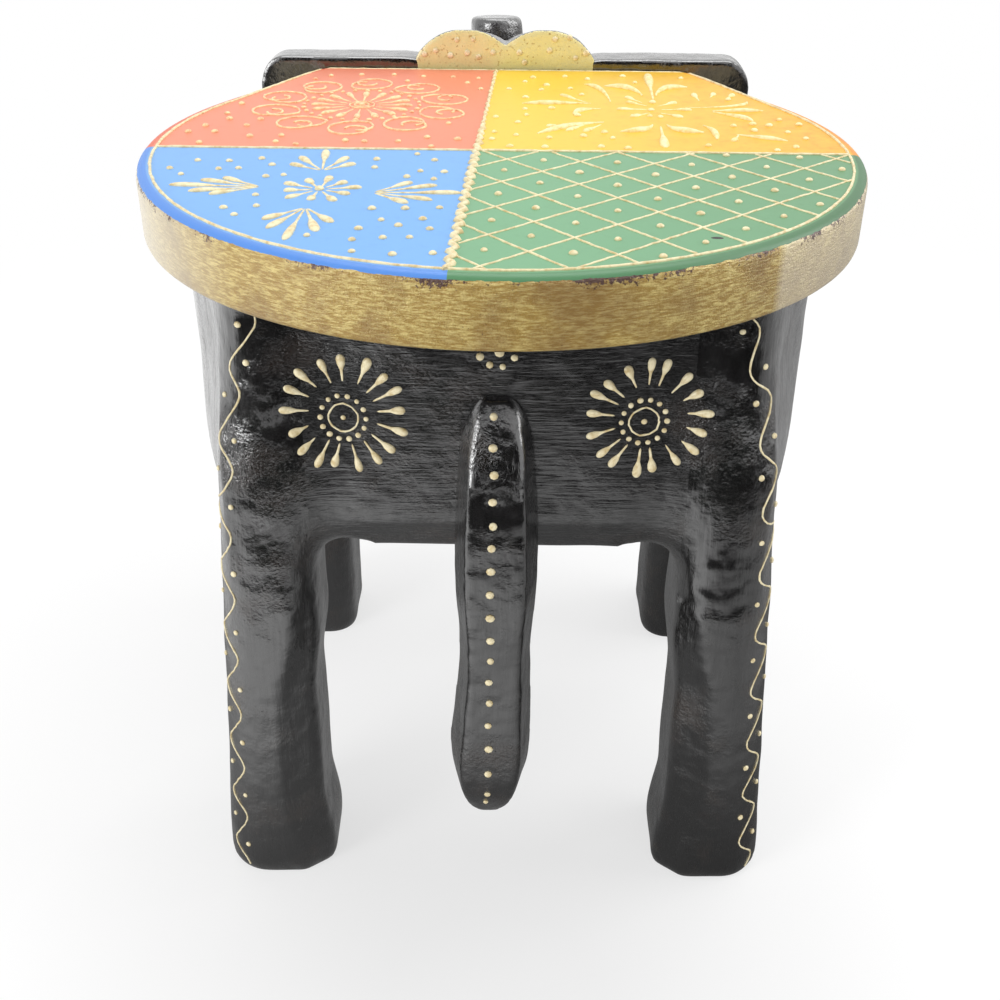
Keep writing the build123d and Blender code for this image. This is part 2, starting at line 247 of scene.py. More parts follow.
def trimmed(piece: Piece, low: Vector, high: Vector) -> None:
    """Planes a piece off to a box.

    Args:
        piece: The piece.
        low: The box's lowest corner.
        high: The box's highest corner.
    """
    bpy.ops.mesh.primitive_cube_add(size=1, location=(low + high) / 2, scale=high - low)
    planed = named("planing_box")
    modify(piece, "BOOLEAN", operation="INTERSECT", object=planed, solver="MANIFOLD")
    bpy.data.objects.remove(planed)


def smooth_shaded(piece: Piece, angle: float = 35.0) -> None:
    """Shades a piece smooth, with edges sharper than an angle in degrees left crisp."""
    only(piece)
    bpy.ops.object.shade_smooth_by_angle(angle=math.radians(angle))


# ------------------------------------------------------------------ colours and shader nodes
def linear(code: str) -> tuple[float, float, float, float]:
    """Turns an sRGB hex colour into linear values.

    Args:
        code: A colour such as "#1c7a40".

    Returns:
        Red, green, blue and a full alpha.
    """
    parts = [int(code[start:start + 2], 16) / 255 for start in (1, 3, 5)]
    values = [part / 12.92 if part <= 0.04045 else ((part + 0.055) / 1.055) ** 2.4
              for part in parts]
    return (*values, 1.0)


def per(size: float) -> float:
    """Repeats per metre of a pattern whose features are this many millimetres wide."""
    return 1 / (size * MM)


class Nodes:
    """The nodes of a material or of the surroundings."""

    usual = {"Mix": {"data_type": "RGBA"}}

    def __init__(self, owner: Union[bpy.types.Material, bpy.types.World]) -> None:
        """Turns the owner's nodes on."""
        owner.use_nodes = True
        self.tree = owner.node_tree

    def add(self, kind: str, inputs: Optional[dict] = None, **settings: object) -> bpy.types.Node:
        """Adds a node with its settings and links; a Mix node mixes colours.

        Args:
            kind: The node's type without the word ShaderNode.
            inputs: For each input, by name or place, a constant, a hex colour, a socket or a node.
            settings: The node's own settings.

        Returns:
            The new node.
        """
        node = self.tree.nodes.new("ShaderNode" + kind)
        for name, value in {**self.usual.get(kind, {}), **settings}.items():
            setattr(node, name, value)
        self.feed(node, inputs or {})
        return node

    def feed(self, node: bpy.types.Node, inputs: dict) -> None:
        """Sets or links the inputs of a node.

        Args:
            node: The node that receives them.
            inputs: For each input, by name or place, a constant, a hex colour, a socket or a node.
        """
        for place, value in inputs.items():
            if isinstance(value, str):
                value = linear(value)
            elif isinstance(value, bpy.types.Node):
                value = value.outputs[2 if value.bl_idname == "ShaderNodeMix" else 0]
            if isinstance(value, bpy.types.NodeSocket):
                self.tree.links.new(value, node.inputs[place])
            else:
                node.inputs[place].default_value = value


class Recipe(Nodes):
    """A material under way: its nodes, its principled shader and its output."""

    def __init__(self, name: str) -> None:
        """Starts a material of this name."""
        self.material = bpy.data.materials.new(name)
        super().__init__(self.material)
        self.shader = self.tree.nodes["Principled BSDF"]
        self.output = self.tree.nodes["Material Output"]


# ------------------------------------------------------------------ finishes
# Widths, lengths and depths in a finish are in millimetres of the real stool.
class Strokes(Enum):
    """Which way the lacquer brush went: size of a stroke along X, Y and Z in millimetres."""

    LEVEL = (14.0, 14.0, 1.2)
    UPRIGHT = (2.4, 2.4, 24.0)
    STIPPLED = (3.0, 3.0, 3.0)


@dataclass(frozen=True)
class BlackLacquer:
    """Thick gloss lacquer brushed over carved wood: near-black, with strokes that catch light."""

    strokes: Strokes
    name: str = "gloss_lacquer"
    film: str = "#100f0f"
    thin_film: str = "#22170f"
    stroke_depth: float = 0.26
    hollow_width: float = 9.0
    hollow_depth: float = 0.8
    blotch_width: float = 24.0
    pit_width: float = 1.3
    pit_depth: float = 0.34
    sheen_low: float = 0.16
    sheen_high: float = 0.36
    film_ior: float = 1.5
    coat_ior: float = 2.1
    coat_roughness: float = 0.12

    def coat(self, recipe: Recipe) -> bpy.types.Node:
        """Feeds gloss and relief to the shader: brush strokes, gouge hollows and pitted patches.

        Args:
            recipe: The material that gets them.

        Returns:
            The node that gives the film's colour, brown where it is thin.
        """
        add = recipe.add
        spot = add("TexCoord").outputs["Object"]
        stretch = add("Mapping", {"Vector": spot,
                                  "Scale": [per(size) for size in self.strokes.value]})
        strokes = add("TexNoise", {"Vector": stretch, "Scale": 1.0, "Detail": 5.0,
                                   "Roughness": 0.6})
        hollows, blotches, pits = (
            add("TexNoise", {"Vector": spot, "Scale": per(width), "Detail": detail,
                             "Roughness": roughness})
            for width, detail, roughness in ((self.hollow_width, 1.0, 0.5),
                                             (self.blotch_width, 4.0, 0.6),
                                             (self.pit_width, 2.0, 0.7)))
        patches = add("MapRange", {"Value": blotches, "From Min": 0.44, "From Max": 0.6,
                                   "To Min": 0.1, "To Max": 1.0})
        pitted = add("Math", {0: pits, 1: patches}, operation="MULTIPLY")
        thin = add("MapRange", {"Value": blotches, "From Min": 0.52, "From Max": 0.74})
        sheen = add("MapRange", {"Value": strokes, "From Min": 0.3, "From Max": 0.7,
                                 "To Min": self.sheen_low, "To Max": self.sheen_high})
        relief = None
        for height, depth in ((hollows, self.hollow_depth), (strokes, self.stroke_depth),
                              (pitted, self.pit_depth)):
            under = {"Normal": relief} if relief else {}
            relief = add("Bump", {"Height": height, "Strength": 1.0,
                                  "Distance": depth * MM, **under})
        recipe.feed(recipe.shader, {"Roughness": sheen, "Normal": relief, "IOR": self.film_ior,
                                    "Coat Weight": 1.0, "Coat Roughness": self.coat_roughness,
                                    "Coat IOR": self.coat_ior, "Coat Normal": relief})
        return add("Mix", {0: thin, 6: self.film, 7: self.thin_film})

    def make(self) -> bpy.types.Material:
        """Builds the material."""
        recipe = Recipe(f"{self.name}_{self.strokes.name.lower()}")
        recipe.feed(recipe.shader, {"Base Color": self.coat(recipe)})
        return recipe.material


@dataclass(frozen=True)
class BrassBackedLacquer(BlackLacquer):
    """The head's lacquer, with dull brass paint on the rear of the domes above the seat."""

    back: float = 0.0
    seat: float = 0.0
    brass: str = "#e4dca2"
    low_brass: str = "#ccc68c"
    worn_brass: str = "#9a7a3c"
    paint_depth: float = 1.1
    ragged_by: float = 1.4
    grit_width: float = 1.5
    below_seat: float = 2.0
    low_height: float = 8.0

    def make(self) -> bpy.types.Material:
        """Builds the material: brass on what faces the sitter, lacquer round it."""
        recipe = Recipe(self.name + "_and_brass_paint")
        add = recipe.add
        film = self.coat(recipe)
        spot = add("TexCoord").outputs["Object"]
        axes = add("SeparateXYZ", {0: spot})
        grit = add("TexNoise", {"Vector": spot, "Scale": per(self.grit_width), "Detail": 4.0})
        ragged = add("Math", {0: grit, 1: self.ragged_by * MM, 2: axes.outputs["Y"]},
                     operation="MULTIPLY_ADD")
        reach = self.back + (self.paint_depth + self.ragged_by / 2) * MM
        behind = add("Math", {0: ragged, 1: reach}, operation="LESS_THAN")
        above = add("Math", {0: axes.outputs["Z"], 1: self.seat - self.below_seat * MM},
                    operation="GREATER_THAN")
        painted = add("Math", {0: behind, 1: above}, operation="MULTIPLY")
        rise = add("MapRange", {"Value": axes.outputs["Z"], "From Min": self.seat,
                                "From Max": self.seat + self.low_height * MM})
        golds = add("Mix", {0: rise, 6: self.low_brass, 7: self.brass})
        worn = add("MapRange", {"Value": grit, "From Min": 0.6, "From Max": 0.75})
        dull = add("Mix", {0: worn, 6: golds, 7: self.worn_brass})
        colour = add("Mix", {0: painted, 6: film, 7: dull})
        gloss = add("MapRange", {"Value": painted, "To Min": 1.0, "To Max": 0.2})
        recipe.feed(recipe.shader, {"Base Color": colour, "Coat Weight": gloss})
        return recipe.material


@dataclass(frozen=True)
class ConePaste:
    """Chalky cone paste, sealed under varnish: raised cream lines with a soft shine."""

    name: str
    paste: str = "#efe2b8"
    shade: str = "#cdb277"
    mottle: float = 2.2
    grain_depth: float = 0.1
    roughness: float = 0.34

    def make(self) -> bpy.types.Material:
        """Builds the material: cream with a darker, dirtier tone in patches."""
        recipe = Recipe(self.name)
        add = recipe.add
        spot = add("TexCoord").outputs["Object"]
        patches = add("TexNoise", {"Vector": spot, "Scale": per(self.mottle), "Detail": 3.0})
        share = add("MapRange", {"Value": patches, "From Min": 0.42, "From Max": 0.75})
        colour = add("Mix", {0: share, 6: self.paste, 7: self.shade})
        relief = add("Bump", {"Height": patches, "Strength": 0.4,
                              "Distance": self.grain_depth * MM})
        recipe.feed(recipe.shader, {"Base Color": colour, "Roughness": self.roughness,
                                    "Normal": relief})
        return recipe.material


@dataclass(frozen=True)
class GiltPaint:
    """Brass-powder paint over bare wood: dull gold, pale in short flecks, gritty all over."""

    gold: str = "#a58434"
    pale_gold: str = "#dcc77c"
    patina: str = "#7b5520"
    fleck_length: float = 4.0
    fleck_width: float = 0.7
    cloud_width: float = 26.0
    grit: float = 0.7
    relief: float = 0.4
    metallic: float = 0.25
    roughness: float = 0.45
    varnish_ior: float = 1.5
    varnish_roughness: float = 0.25

    def tint(self, recipe: Recipe) -> tuple[bpy.types.Node, bpy.types.Node]:
        """Adds the gilt's colour and relief to a material.

        Args:
            recipe: The material that gets them.

        Returns:
            The node that gives the colour and the one that gives the height of the relief.
        """
        add = recipe.add
        spot = add("TexCoord").outputs["Object"]
        along, across = per(self.fleck_length), per(self.fleck_width)
        stretch = add("Mapping", {"Vector": spot, "Scale": (along, along, across)})
        flecks = add("TexNoise", {"Vector": stretch, "Scale": 1.0, "Detail": 4.0, "Roughness": 0.7})
        grit = add("TexNoise", {"Vector": spot, "Scale": per(self.grit), "Detail": 2.0})
        clouds = add("TexNoise", {"Vector": spot, "Scale": per(self.cloud_width),
                                  "Detail": 4.0, "Roughness": 0.6})
        pale = add("MapRange", {"Value": flecks, "From Min": 0.44, "From Max": 0.62, "To Max": 0.9})
        golds = add("Mix", {0: pale, 6: self.gold, 7: self.pale_gold})
        stained = add("MapRange", {"Value": clouds, "From Min": 0.46, "From Max": 0.64,
                                   "To Max": 0.55})
        colour = add("Mix", {0: stained, 6: golds, 7: self.patina})
        height = add("Math", {0: grit, 1: 0.8, 2: flecks}, operation="MULTIPLY_ADD")
        return colour, height


@dataclass(frozen=True)
class PlainFinish:
    """A simple coloured surface with a mottled tone and a fine grain."""

    name: str
    light: str
    dark: str
    roughness: float
    grain: tuple[float, float, float]
    relief: float = 0.15

    def make(self) -> bpy.types.Material:
        """Builds the material from two tones that follow the grain."""
        recipe = Recipe(self.name)
        add = recipe.add
        spot = add("TexCoord").outputs["Object"]
        stretch = add("Mapping", {"Vector": spot, "Scale": [per(size) for size in self.grain]})
        tone = add("TexNoise", {"Vector": stretch, "Scale": 1.0, "Detail": 4.0})
        share = add("MapRange", {"Value": tone, "From Min": 0.35, "From Max": 0.65})
        colour = add("Mix", {0: share, 6: self.light, 7: self.dark})
        bump = add("Bump", {"Height": tone, "Strength": 0.6, "Distance": self.relief * MM})
        recipe.feed(recipe.shader, {"Base Color": colour, "Roughness": self.roughness,
                                    "Normal": bump})
        return recipe.material


# ------------------------------------------------------------------ seat
@dataclass(frozen=True)
class SeatLayout:
    """Plan of the painted seat, in millimetres about the centre of its round part."""

    radius: float = 139.95
    front: float = 132.0
    taper: float = 28.0
    border_inset: float = 5.4
    front_inset: float = 1.7
    round_steps: int = 110
    divide_x: float = -9.5
    divide_lean: float = 0.041
    divide_y: float = -7.5

    def middle(self, y: float) -> float:
        """Place across of the wavy divider at a place along the seat."""
        return self.divide_x + self.divide_lean * y

    def inside(self, x: float, y: float) -> float:
        """Distance from a place to the edge of the board, negative outside it.

        Args:
            x: Place across the seat.
            y: Place along the seat.

        Returns:
            The distance in millimetres.
        """
        lean = math.radians(self.taper)
        if math.atan2(y, abs(x)) < lean:
            return self.radius - math.hypot(x, y)
        side = self.radius - abs(x) * math.cos(lean) - y * math.sin(lean)
        return min(side, self.front - y)

    def outline(self, inset: float) -> list[Plan]:
        """Corners and round of the board's outline, moved inwards.

        Args:
            inset: How far inside the edge it runs.

        Returns:
            Points from the left front corner round the rear to the right front corner.
        """
        lean = math.radians(self.taper)
        radius, front = self.radius - inset, self.front - self.front_inset
        corner = (self.radius - self.front_inset - front * math.sin(lean)) / math.cos(lean)
        turn = (math.pi + 2 * lean) / self.round_steps
        start = math.pi - lean
        rear = [(radius * math.cos(start + step * turn), radius * math.sin(start + step * turn))
                for step in range(self.round_steps + 1)]
        return [(-corner, front), *rear, (corner, front)]


@dataclass(frozen=True)
class BoardPlace:
    """What the board's colours go by: the place from the seat's centre, in mm, and the wear."""

    recipe: Recipe
    plan: bpy.types.Node
    x: bpy.types.NodeSocket
    y: bpy.types.NodeSocket
    z: bpy.types.NodeSocket
    scuffs: bpy.types.Node
    specks: bpy.types.Node


@dataclass(frozen=True)
class PaintedBoard:
    """Gloss enamel in four fields on the top, brass paint on the rim, one board under both."""

    layout: SeatLayout
    gilt: GiltPaint
    middle: Vector
    blue: str = "#73aae6"
    red: str = "#e68869"
    yellow: str = "#ecc93f"
    orange: str = "#e58c02"
    green: str = "#71a57c"
    right_green: str = "#619066"
    dirt: tuple[float, ...] = (0.72, 0.7, 0.66, 1)
    rubbed_wood: str = "#2b2018"
    chipped_wood: str = "#17120e"
    # pale colour of the painted highlight on the rim's two sides
    gilt_painted_highlight: str = "#efe6cf"
    stained_gilt: str = "#4c2a1a"
    underside: str = "#15110e"
    roughness: float = 0.4
    scuff_width: float = 7.0
    scuff_relief: float = 0.12
    speck_width: float = 1.3
    stain_width: float = 16.0
    gilt_line: float = 1.5
    gilt_ragged: float = 1.6
    painted_depth: float = 24.4
    # where the rim's painted highlight starts and ends across the seat, in millimetres, and its
    # strength
    left_painted_highlight: tuple[float, float, float] = (-86.0, -136.0, 0.8)
    right_painted_highlight: tuple[float, float, float] = (90.0, 93.0, 0.42)
    stained_from: float = -5.5
    stained_to: float = -1.0
    rubbed_from: float = -0.3
    rubbed_to: float = -2.5
    # width and fade of the painted shade on the rounded edge, in millimetres from the edge
    band: float = 4.4
    edge_shade_fade: float = 0.8
    chip: Plan = (70.5, -103.2)
    chip_squash: tuple[float, float, float] = (0.4, 0.8, 0.4)
    chip_size: float = 1.45

    def fields(self, at: BoardPlace) -> bpy.types.Node:
        """Adds the four coloured fields; scuffs shift the yellow a little.

        Args:
            at: The place on the board.

        Returns:
            The node that gives the colour.
        """
        add, layout = at.recipe.add, self.layout
        middle = add("Math", {0: at.y, 1: layout.divide_lean, 2: layout.divide_x},
                     operation="MULTIPLY_ADD")
        left = add("Math", {0: at.x, 1: middle}, operation="LESS_THAN")
        far = add("Math", {0: at.y, 1: layout.divide_y}, operation="GREATER_THAN")
        reach = add("MapRange", {"Value": at.x, "From Min": 10.0, "From Max": 125.0})
        glow = add("Math", {0: reach, 1: at.scuffs, 2: 0.05}, operation="MULTIPLY_ADD")
        amber = add("Mix", {0: glow, 6: self.yellow, 7: self.orange})
        leaf = add("Mix", {0: reach, 6: self.green, 7: self.right_green})
        near = add("Mix", {0: left, 6: leaf, 7: self.blue})
        beyond = add("Mix", {0: left, 6: amber, 7: self.red})
        return add("Mix", {0: far, 6: near, 7: beyond})

    def edge_gap(self, at: BoardPlace) -> bpy.types.Node:
        """Adds the distance to the board's round and straight sides, the flat front left out.

        Args:
            at: The place on the board.

        Returns:
            The node that gives the distance in millimetres.
        """
        add, lean = at.recipe.add, math.radians(self.layout.taper)
        flat = add("VectorMath", {0: at.plan, 1: (1, 1, 0)}, operation="MULTIPLY")
        reach = add("VectorMath", {0: flat}, operation="LENGTH").outputs["Value"]
        aside = add("Math", {0: at.x}, operation="ABSOLUTE")
        ahead = add("Math", {0: at.y, 1: math.sin(lean)}, operation="MULTIPLY")
        straight = add("Math", {0: aside, 1: math.cos(lean), 2: ahead}, operation="MULTIPLY_ADD")
        height = add("Math", {0: aside, 1: math.tan(lean)}, operation="MULTIPLY")
        tapered = add("Math", {0: at.y, 1: height}, operation="GREATER_THAN")
        less = add("Math", {0: straight, 1: reach}, operation="SUBTRACT")
        out = add("Math", {0: less, 1: tapered, 2: reach}, operation="MULTIPLY_ADD")
        return add("Math", {0: self.layout.radius, 1: out}, operation="SUBTRACT")

    def enamel(self, at: BoardPlace) -> bpy.types.Node:
        """Adds the top's colour: four fields, dirt, painted shade on the rounded edge, a rubbed
        edge and one chip.

        Args:
            at: The place on the board.

        Returns:
            The node that gives the colour.
        """
        add, fields = at.recipe.add, self.fields(at)
        worn = add("MapRange", {"Value": at.scuffs, "From Min": 0.54, "From Max": 0.8,
                                "To Max": 0.35})
        dirty = add("Mix", {0: worn, 6: fields, 7: self.dirt}, blend_type="MULTIPLY")
        # painted shade: the colour deepens and darkens over a band on the rounded edge of the round
        # and straight sides
        fall = add("MapRange", {"Value": self.edge_gap(at), "From Min": self.band,
                                "From Max": self.band - self.edge_shade_fade, "To Max": 0.62})
        edge_shaded_colour = add("Mix", {0: fall, 6: dirty, 7: fields}, blend_type="MULTIPLY")
        near_edge = add("MapRange", {"Value": at.z, "From Min": self.rubbed_from,
                                     "From Max": self.rubbed_to})
        rubbed = add("Math", {0: at.specks, 1: near_edge}, operation="MULTIPLY")
        bare = add("MapRange", {"Value": rubbed, "From Min": 0.5, "From Max": 0.58})
        edge = add("Mix", {0: bare, 6: edge_shaded_colour, 7: self.rubbed_wood})
        gone = add("VectorMath", {0: at.plan, 1: (*self.chip, 0)}, operation="SUBTRACT")
        flat = add("VectorMath", {0: gone, 1: self.chip_squash}, operation="MULTIPLY")
        size = add("VectorMath", {0: flat}, operation="LENGTH").outputs["Value"]
        shape = add("Math", {0: at.scuffs, 1: 1.2, 2: size}, operation="MULTIPLY_ADD")
        chipped = add("Math", {0: shape, 1: self.chip_size}, operation="LESS_THAN")
        return add("Mix", {0: chipped, 6: edge, 7: self.chipped_wood})

    def rim(self, at: BoardPlace, gilt: bpy.types.Node) -> bpy.types.Node:
        """Adds the rim's colour: brass paint with a painted highlight towards each side, stained
        under the top.

        Args:
            at: The place on the board.
            gilt: The colour of fresh brass paint.

        Returns:
            The node that gives the colour.
        """
        add = at.recipe.add
        stains = add("TexNoise", {"Vector": at.plan, "Scale": 1 / self.stain_width,
                                  "Detail": 3.0})
        high = add("MapRange", {"Value": at.z, "From Min": self.stained_from,
                                "From Max": self.stained_to})
        stained = add("MapRange", {"Value": stains, "From Min": 0.44, "From Max": 0.66})
        lost = add("Math", {0: high, 1: stained}, operation="MULTIPLY")
        spotty = add("Math", {0: lost, 1: 0.45, 2: at.specks}, operation="MULTIPLY_ADD")
        brown = add("MapRange", {"Value": spotty, "From Min": 0.68, "From Max": 0.76})
        # painted highlight: towards its left and right ends the rim pales to a whitish colour, as a
        # reflection would make it
        left, right = (add("MapRange", {"Value": at.x, "From Min": start, "From Max": end,
                                        "To Max": most})
                       for start, end, most in (self.left_painted_highlight, self.right_painted_highlight))
        pale = add("Math", {0: left, 1: right}, operation="MAXIMUM")
        thin = add("Mix", {0: pale, 6: gilt, 7: self.gilt_painted_highlight})
        return add("Mix", {0: brown, 6: thin, 7: self.stained_gilt})

    def make(self) -> bpy.types.Material:
        """Builds the material of the whole board: enamel above, brass paint on the rim."""
        recipe = Recipe("enamel_and_brass_paint")
        add = recipe.add
        spot = add("TexCoord").outputs["Object"]
        about = add("VectorMath", {0: spot, 1: self.middle}, operation="SUBTRACT")
        plan = add("VectorMath", {0: about, 3: 1 / MM}, operation="SCALE")
        scuffs = add("TexNoise", {"Vector": plan, "Scale": 1 / self.scuff_width, "Detail": 6.0,
                                  "Roughness": 0.68})
        specks = add("TexNoise", {"Vector": plan, "Scale": 1 / self.speck_width, "Detail": 3.0,
                                  "Roughness": 0.7})
        at = BoardPlace(recipe, plan, *add("SeparateXYZ", {0: plan}).outputs, scuffs, specks)
        gilt, grain = self.gilt.tint(recipe)
        ragged = add("Math", {0: scuffs, 1: self.gilt_ragged, 2: at.z}, operation="MULTIPLY_ADD")
        gilded = add("Math", {0: ragged, 1: self.gilt_ragged / 2 - self.gilt_line},
                     operation="LESS_THAN")
        sides = add("Mix", {0: gilded, 6: self.enamel(at), 7: self.rim(at, gilt)})
        under = add("Math", {0: at.z, 1: -self.painted_depth}, operation="LESS_THAN")
        colour = add("Mix", {0: under, 6: sides, 7: self.underside})
        metal = add("Math", {0: gilded, 1: self.gilt.metallic}, operation="MULTIPLY")
        rough = add("MapRange", {"Value": gilded, "To Min": self.roughness,
                                 "To Max": self.gilt.roughness})
        rim_height = add("Math", {0: grain, 1: gilded}, operation="MULTIPLY")
        lifted = add("Math", {0: scuffs, 1: self.scuff_relief, 2: rim_height},
                     operation="MULTIPLY_ADD")
        relief = add("Bump", {"Height": lifted, "Strength": 1.0,
                              "Distance": self.gilt.relief * MM})
        recipe.feed(recipe.shader, {"Base Color": colour, "Metallic": metal, "Roughness": rough,
                                    "Normal": relief, "Coat Weight": gilded,
                                    "Coat IOR": self.gilt.varnish_ior,
                                    "Coat Roughness": self.gilt.varnish_roughness,
                                    "Coat Normal": relief})
        return recipe.material


@dataclass
class SeatBoard:
    """Thick board: round at the rear, with straight sides that run in to a flat front."""

    layout: SeatLayout = field(default_factory=SeatLayout)
    corner_cut: float = 3.5 * MM
    top_round: float = 3.5 * MM
    bottom_round: float = 2.0 * MM
    round_points: int = 180

    def middle(self) -> Vector:
        """Centre of the round part on the sitting surface."""
        low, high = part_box("seat_board")
        return Vector((0, low.y + self.layout.radius * MM, high.z))

    def shape(self) -> Piece:
        """Draws the outline, thickens it downwards and rounds its edges."""
        low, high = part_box("seat_board")
        middle, radius = self.middle(), self.layout.radius * MM
        lean = math.radians(self.layout.taper)
        bpy.ops.mesh.primitive_circle_add(vertices=self.round_points, radius=radius,
                                          location=middle)
        board = named("painted_seat_board")
        leave = middle.y + radius * math.sin(lean)
        pick(board, "VERT", lambda vert: vert.co.y > leave + HAIR)
        bpy.ops.mesh.delete(type="VERT")
        run = middle.y + self.layout.front * MM - leave
        for side in (-1, 1):
            pick(board, "VERT", lambda vert: abs(vert.co.y - leave) < HAIR
                 and vert.co.x * side > 0)
            inward = Vector((-side * run * math.tan(lean), run, 0))
            bpy.ops.mesh.extrude_region_move(TRANSFORM_OT_translate={"value": inward})
            done()
        pick(board, "VERT", lambda vert: vert.co.y > leave + run / 2)
        bpy.ops.mesh.edge_face_add()
        bpy.ops.mesh.bevel(offset=self.corner_cut, segments=5, affect="VERTICES")
        bpy.ops.mesh.select_all(action="SELECT")
        bpy.ops.mesh.edge_face_add()
        bpy.ops.mesh.extrude_region_move(
            TRANSFORM_OT_translate={"value": (0, 0, low.z - high.z)})
        bpy.ops.mesh.select_all(action="SELECT")
        bpy.ops.mesh.normals_make_consistent(inside=False)
        done()
        for height, width, segments in ((high.z, self.top_round, 5), (low.z, self.bottom_round, 3)):
            pick(board, "EDGE", lambda edge: all(abs(vert.co.z - height) < TOUCHING
                                                 for vert in edge.verts))
            bpy.ops.mesh.bevel(offset=width, segments=segments, affect="EDGES")
            done()
        smooth_shaded(board, 40)
        return board

    def build(self) -> Piece:
        """Shapes and paints the board."""
        board = self.shape()
        paint = PaintedBoard(self.layout, GiltPaint(), self.middle())
        return settled(board, paint.make(), "painted_seat", "seat_board")


def settled(piece: Piece, finish: bpy.types.Material, slot: str, *nodes: str) -> Piece:
    """Gives a finished piece its material and its body, and hides the nodes it stands for.

    Args:
        piece: The finished piece.
        finish: Its material.
        slot: Not used.
        nodes: CAD nodes that it replaces, if any.

    Returns:
        The same piece.
    """
    piece.data.materials.clear()
    piece.data.materials.append(finish)
    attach(piece, "root")
    if nodes:
        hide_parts(*nodes)
    LOG.info("%s: %d faces", piece.name, len(piece.data.polygons))
    return piece


# ------------------------------------------------------------------ body, legs and tail
@dataclass
class CarvedBody:
    """Barrel and legs, carved as one flowing form and parted where the blocks are glued."""

    grid: float = 1.8 * MM
    sanding: int = 7
    hollow_depth: float = 1.1 * MM
    hollow_width: float = 26 * MM
    hollow_level: float = 0.3
    spread: float = 9 * MM
    spread_from: float = 2 * MM
    spread_to: float = 8 * MM
    far_out: float = 200 * MM
    far_up: float = 40 * MM
    top_spare: float = 10 * MM
    sole_spare: float = 5 * MM
    corner_shift: tuple[float, float] = (2.5 * MM, 8.5 * MM)
    corner_reach: float = 60 * MM
    inner_shift: float = 3.2 * MM
    inner_reach: float = 30 * MM
    haunch_sanding: int = 26
    haunch_margins: tuple[float, ...] = (0, 7, 14)

    def whole(self) -> Piece:
        """The barrel with its four legs as one soft carved form."""
        form = from_nodes("carved_form", "body_block", *self.legs())
        grown(form, Vector((0, 0, 1)), self.top_spare)
        grown(form, Vector((0, 0, -1)), self.sole_spare)
        soften(form, self.grid, self.sanding)
        gouge(form, self.hollow_depth, self.hollow_width, self.hollow_level)
        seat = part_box("seat_board")[0].z
        for side in (-1, 1):
            self.ease(form, side, seat / MM)
        room = Vector((self.far_out, self.far_out, 0)) * 2
        trimmed(form, -room, room + Vector((0, 0, seat)))
        return form

    def ease(self, form: Piece, side: int, seat: float) -> None:
        """Eases one rear leg: its top corner, its inner face and the haunch over it.

        Args:
            form: The whole carved form.
            side: -1 for the left leg and 1 for the right one.
            seat: Height of the seat's underside in millimetres.
        """
        far = math.inf
        top_corner = (84, -far, seat - 15), (far, -150, far)
        inner_face = (60, -far, 36), (76, -118, 92)
        drawn(form, in_box(side, *top_corner),
              (-side * self.corner_shift[0], self.corner_shift[1], 0), self.corner_reach)
        drawn(form, in_box(side, *inner_face), (side * self.inner_shift, 0, 0), self.inner_reach)
        for margin in self.haunch_margins:
            haunch = (46 + margin, -far, 136 + margin * 1.5), (98, -130, seat + 6)
            pick(form, "VERT", in_box(side, *haunch))
            bpy.ops.mesh.vertices_smooth(factor=1, repeat=self.haunch_sanding)
            done()

    def legs(self) -> list[str]:
        """Names of the four leg nodes."""
        return [f"leg_{end}_{side}" for end in ("rear", "front") for side, _ in SIDES]

    def corner_block(self, leg: str) -> Piece:
        """A block that takes in one leg: to the glued faces above the belly, and wider below.

        Args:
            leg: Name of the leg's node.

        Returns:
            The block, to cut with.
        """
        low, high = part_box(leg)
        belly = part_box("body_block")[0].z
        side = 1 if low.x > 0 else -1
        end = -1 if "rear" in leg else 1
        inner = low.x if side > 0 else high.x
        joint = high.y if end < 0 else low.y
        half = Vector((side * self.far_out, end * self.far_out, high.z + self.far_up)) / 2
        bpy.ops.mesh.primitive_cube_add(size=2, scale=[abs(value) for value in half],
                                        location=(inner + half.x, joint + half.y, high.z / 2))
        block = named("cutter_" + leg)
        pick(block, "FACE", lambda face: True)
        for drop in (self.spread_from, self.spread_to):
            bpy.ops.mesh.select_all(action="SELECT")
            bpy.ops.mesh.bisect(plane_co=(0, 0, belly - drop), plane_no=(0, 0, 1))
        done()
        below = belly - self.spread_to + HAIR
        for axis, face, way in ((0, inner, (-side, 0, 0)), (1, joint, (0, -end, 0))):
            pick(block, "VERT", lambda vert: vert.co.z < below
                 and abs(vert.co[axis] - face) < HAIR)
            bpy.ops.transform.translate(value=Vector(way) * self.spread)
            done()
        return block

    def build(self) -> dict[str, Piece]:
        """Carves the form, parts it and lacquers the five pieces.

        Returns:
            The pieces by the name of the node that each one stands for.
        """
        form = self.whole()
        barrel = copied(form, "carved_barrel")
        upright = BlackLacquer(Strokes.UPRIGHT).make()
        pieces = {}
        for leg in self.legs():
            block = self.corner_block(leg)
            post = copied(form, "carved_" + leg)
            modify(post, "BOOLEAN", operation="INTERSECT", object=block, solver="MANIFOLD")
            modify(barrel, "BOOLEAN", operation="DIFFERENCE", object=block, solver="MANIFOLD")
            bpy.data.objects.remove(block)
            smooth_shaded(post)
            pieces[leg] = settled(post, upright, "black_lacquer", leg)
        bpy.data.objects.remove(form)
        smooth_shaded(barrel)
        lacquer = BlackLacquer(Strokes.LEVEL).make()
        pieces["body_block"] = settled(barrel, lacquer, "black_lacquer", "body_block")
        return pieces


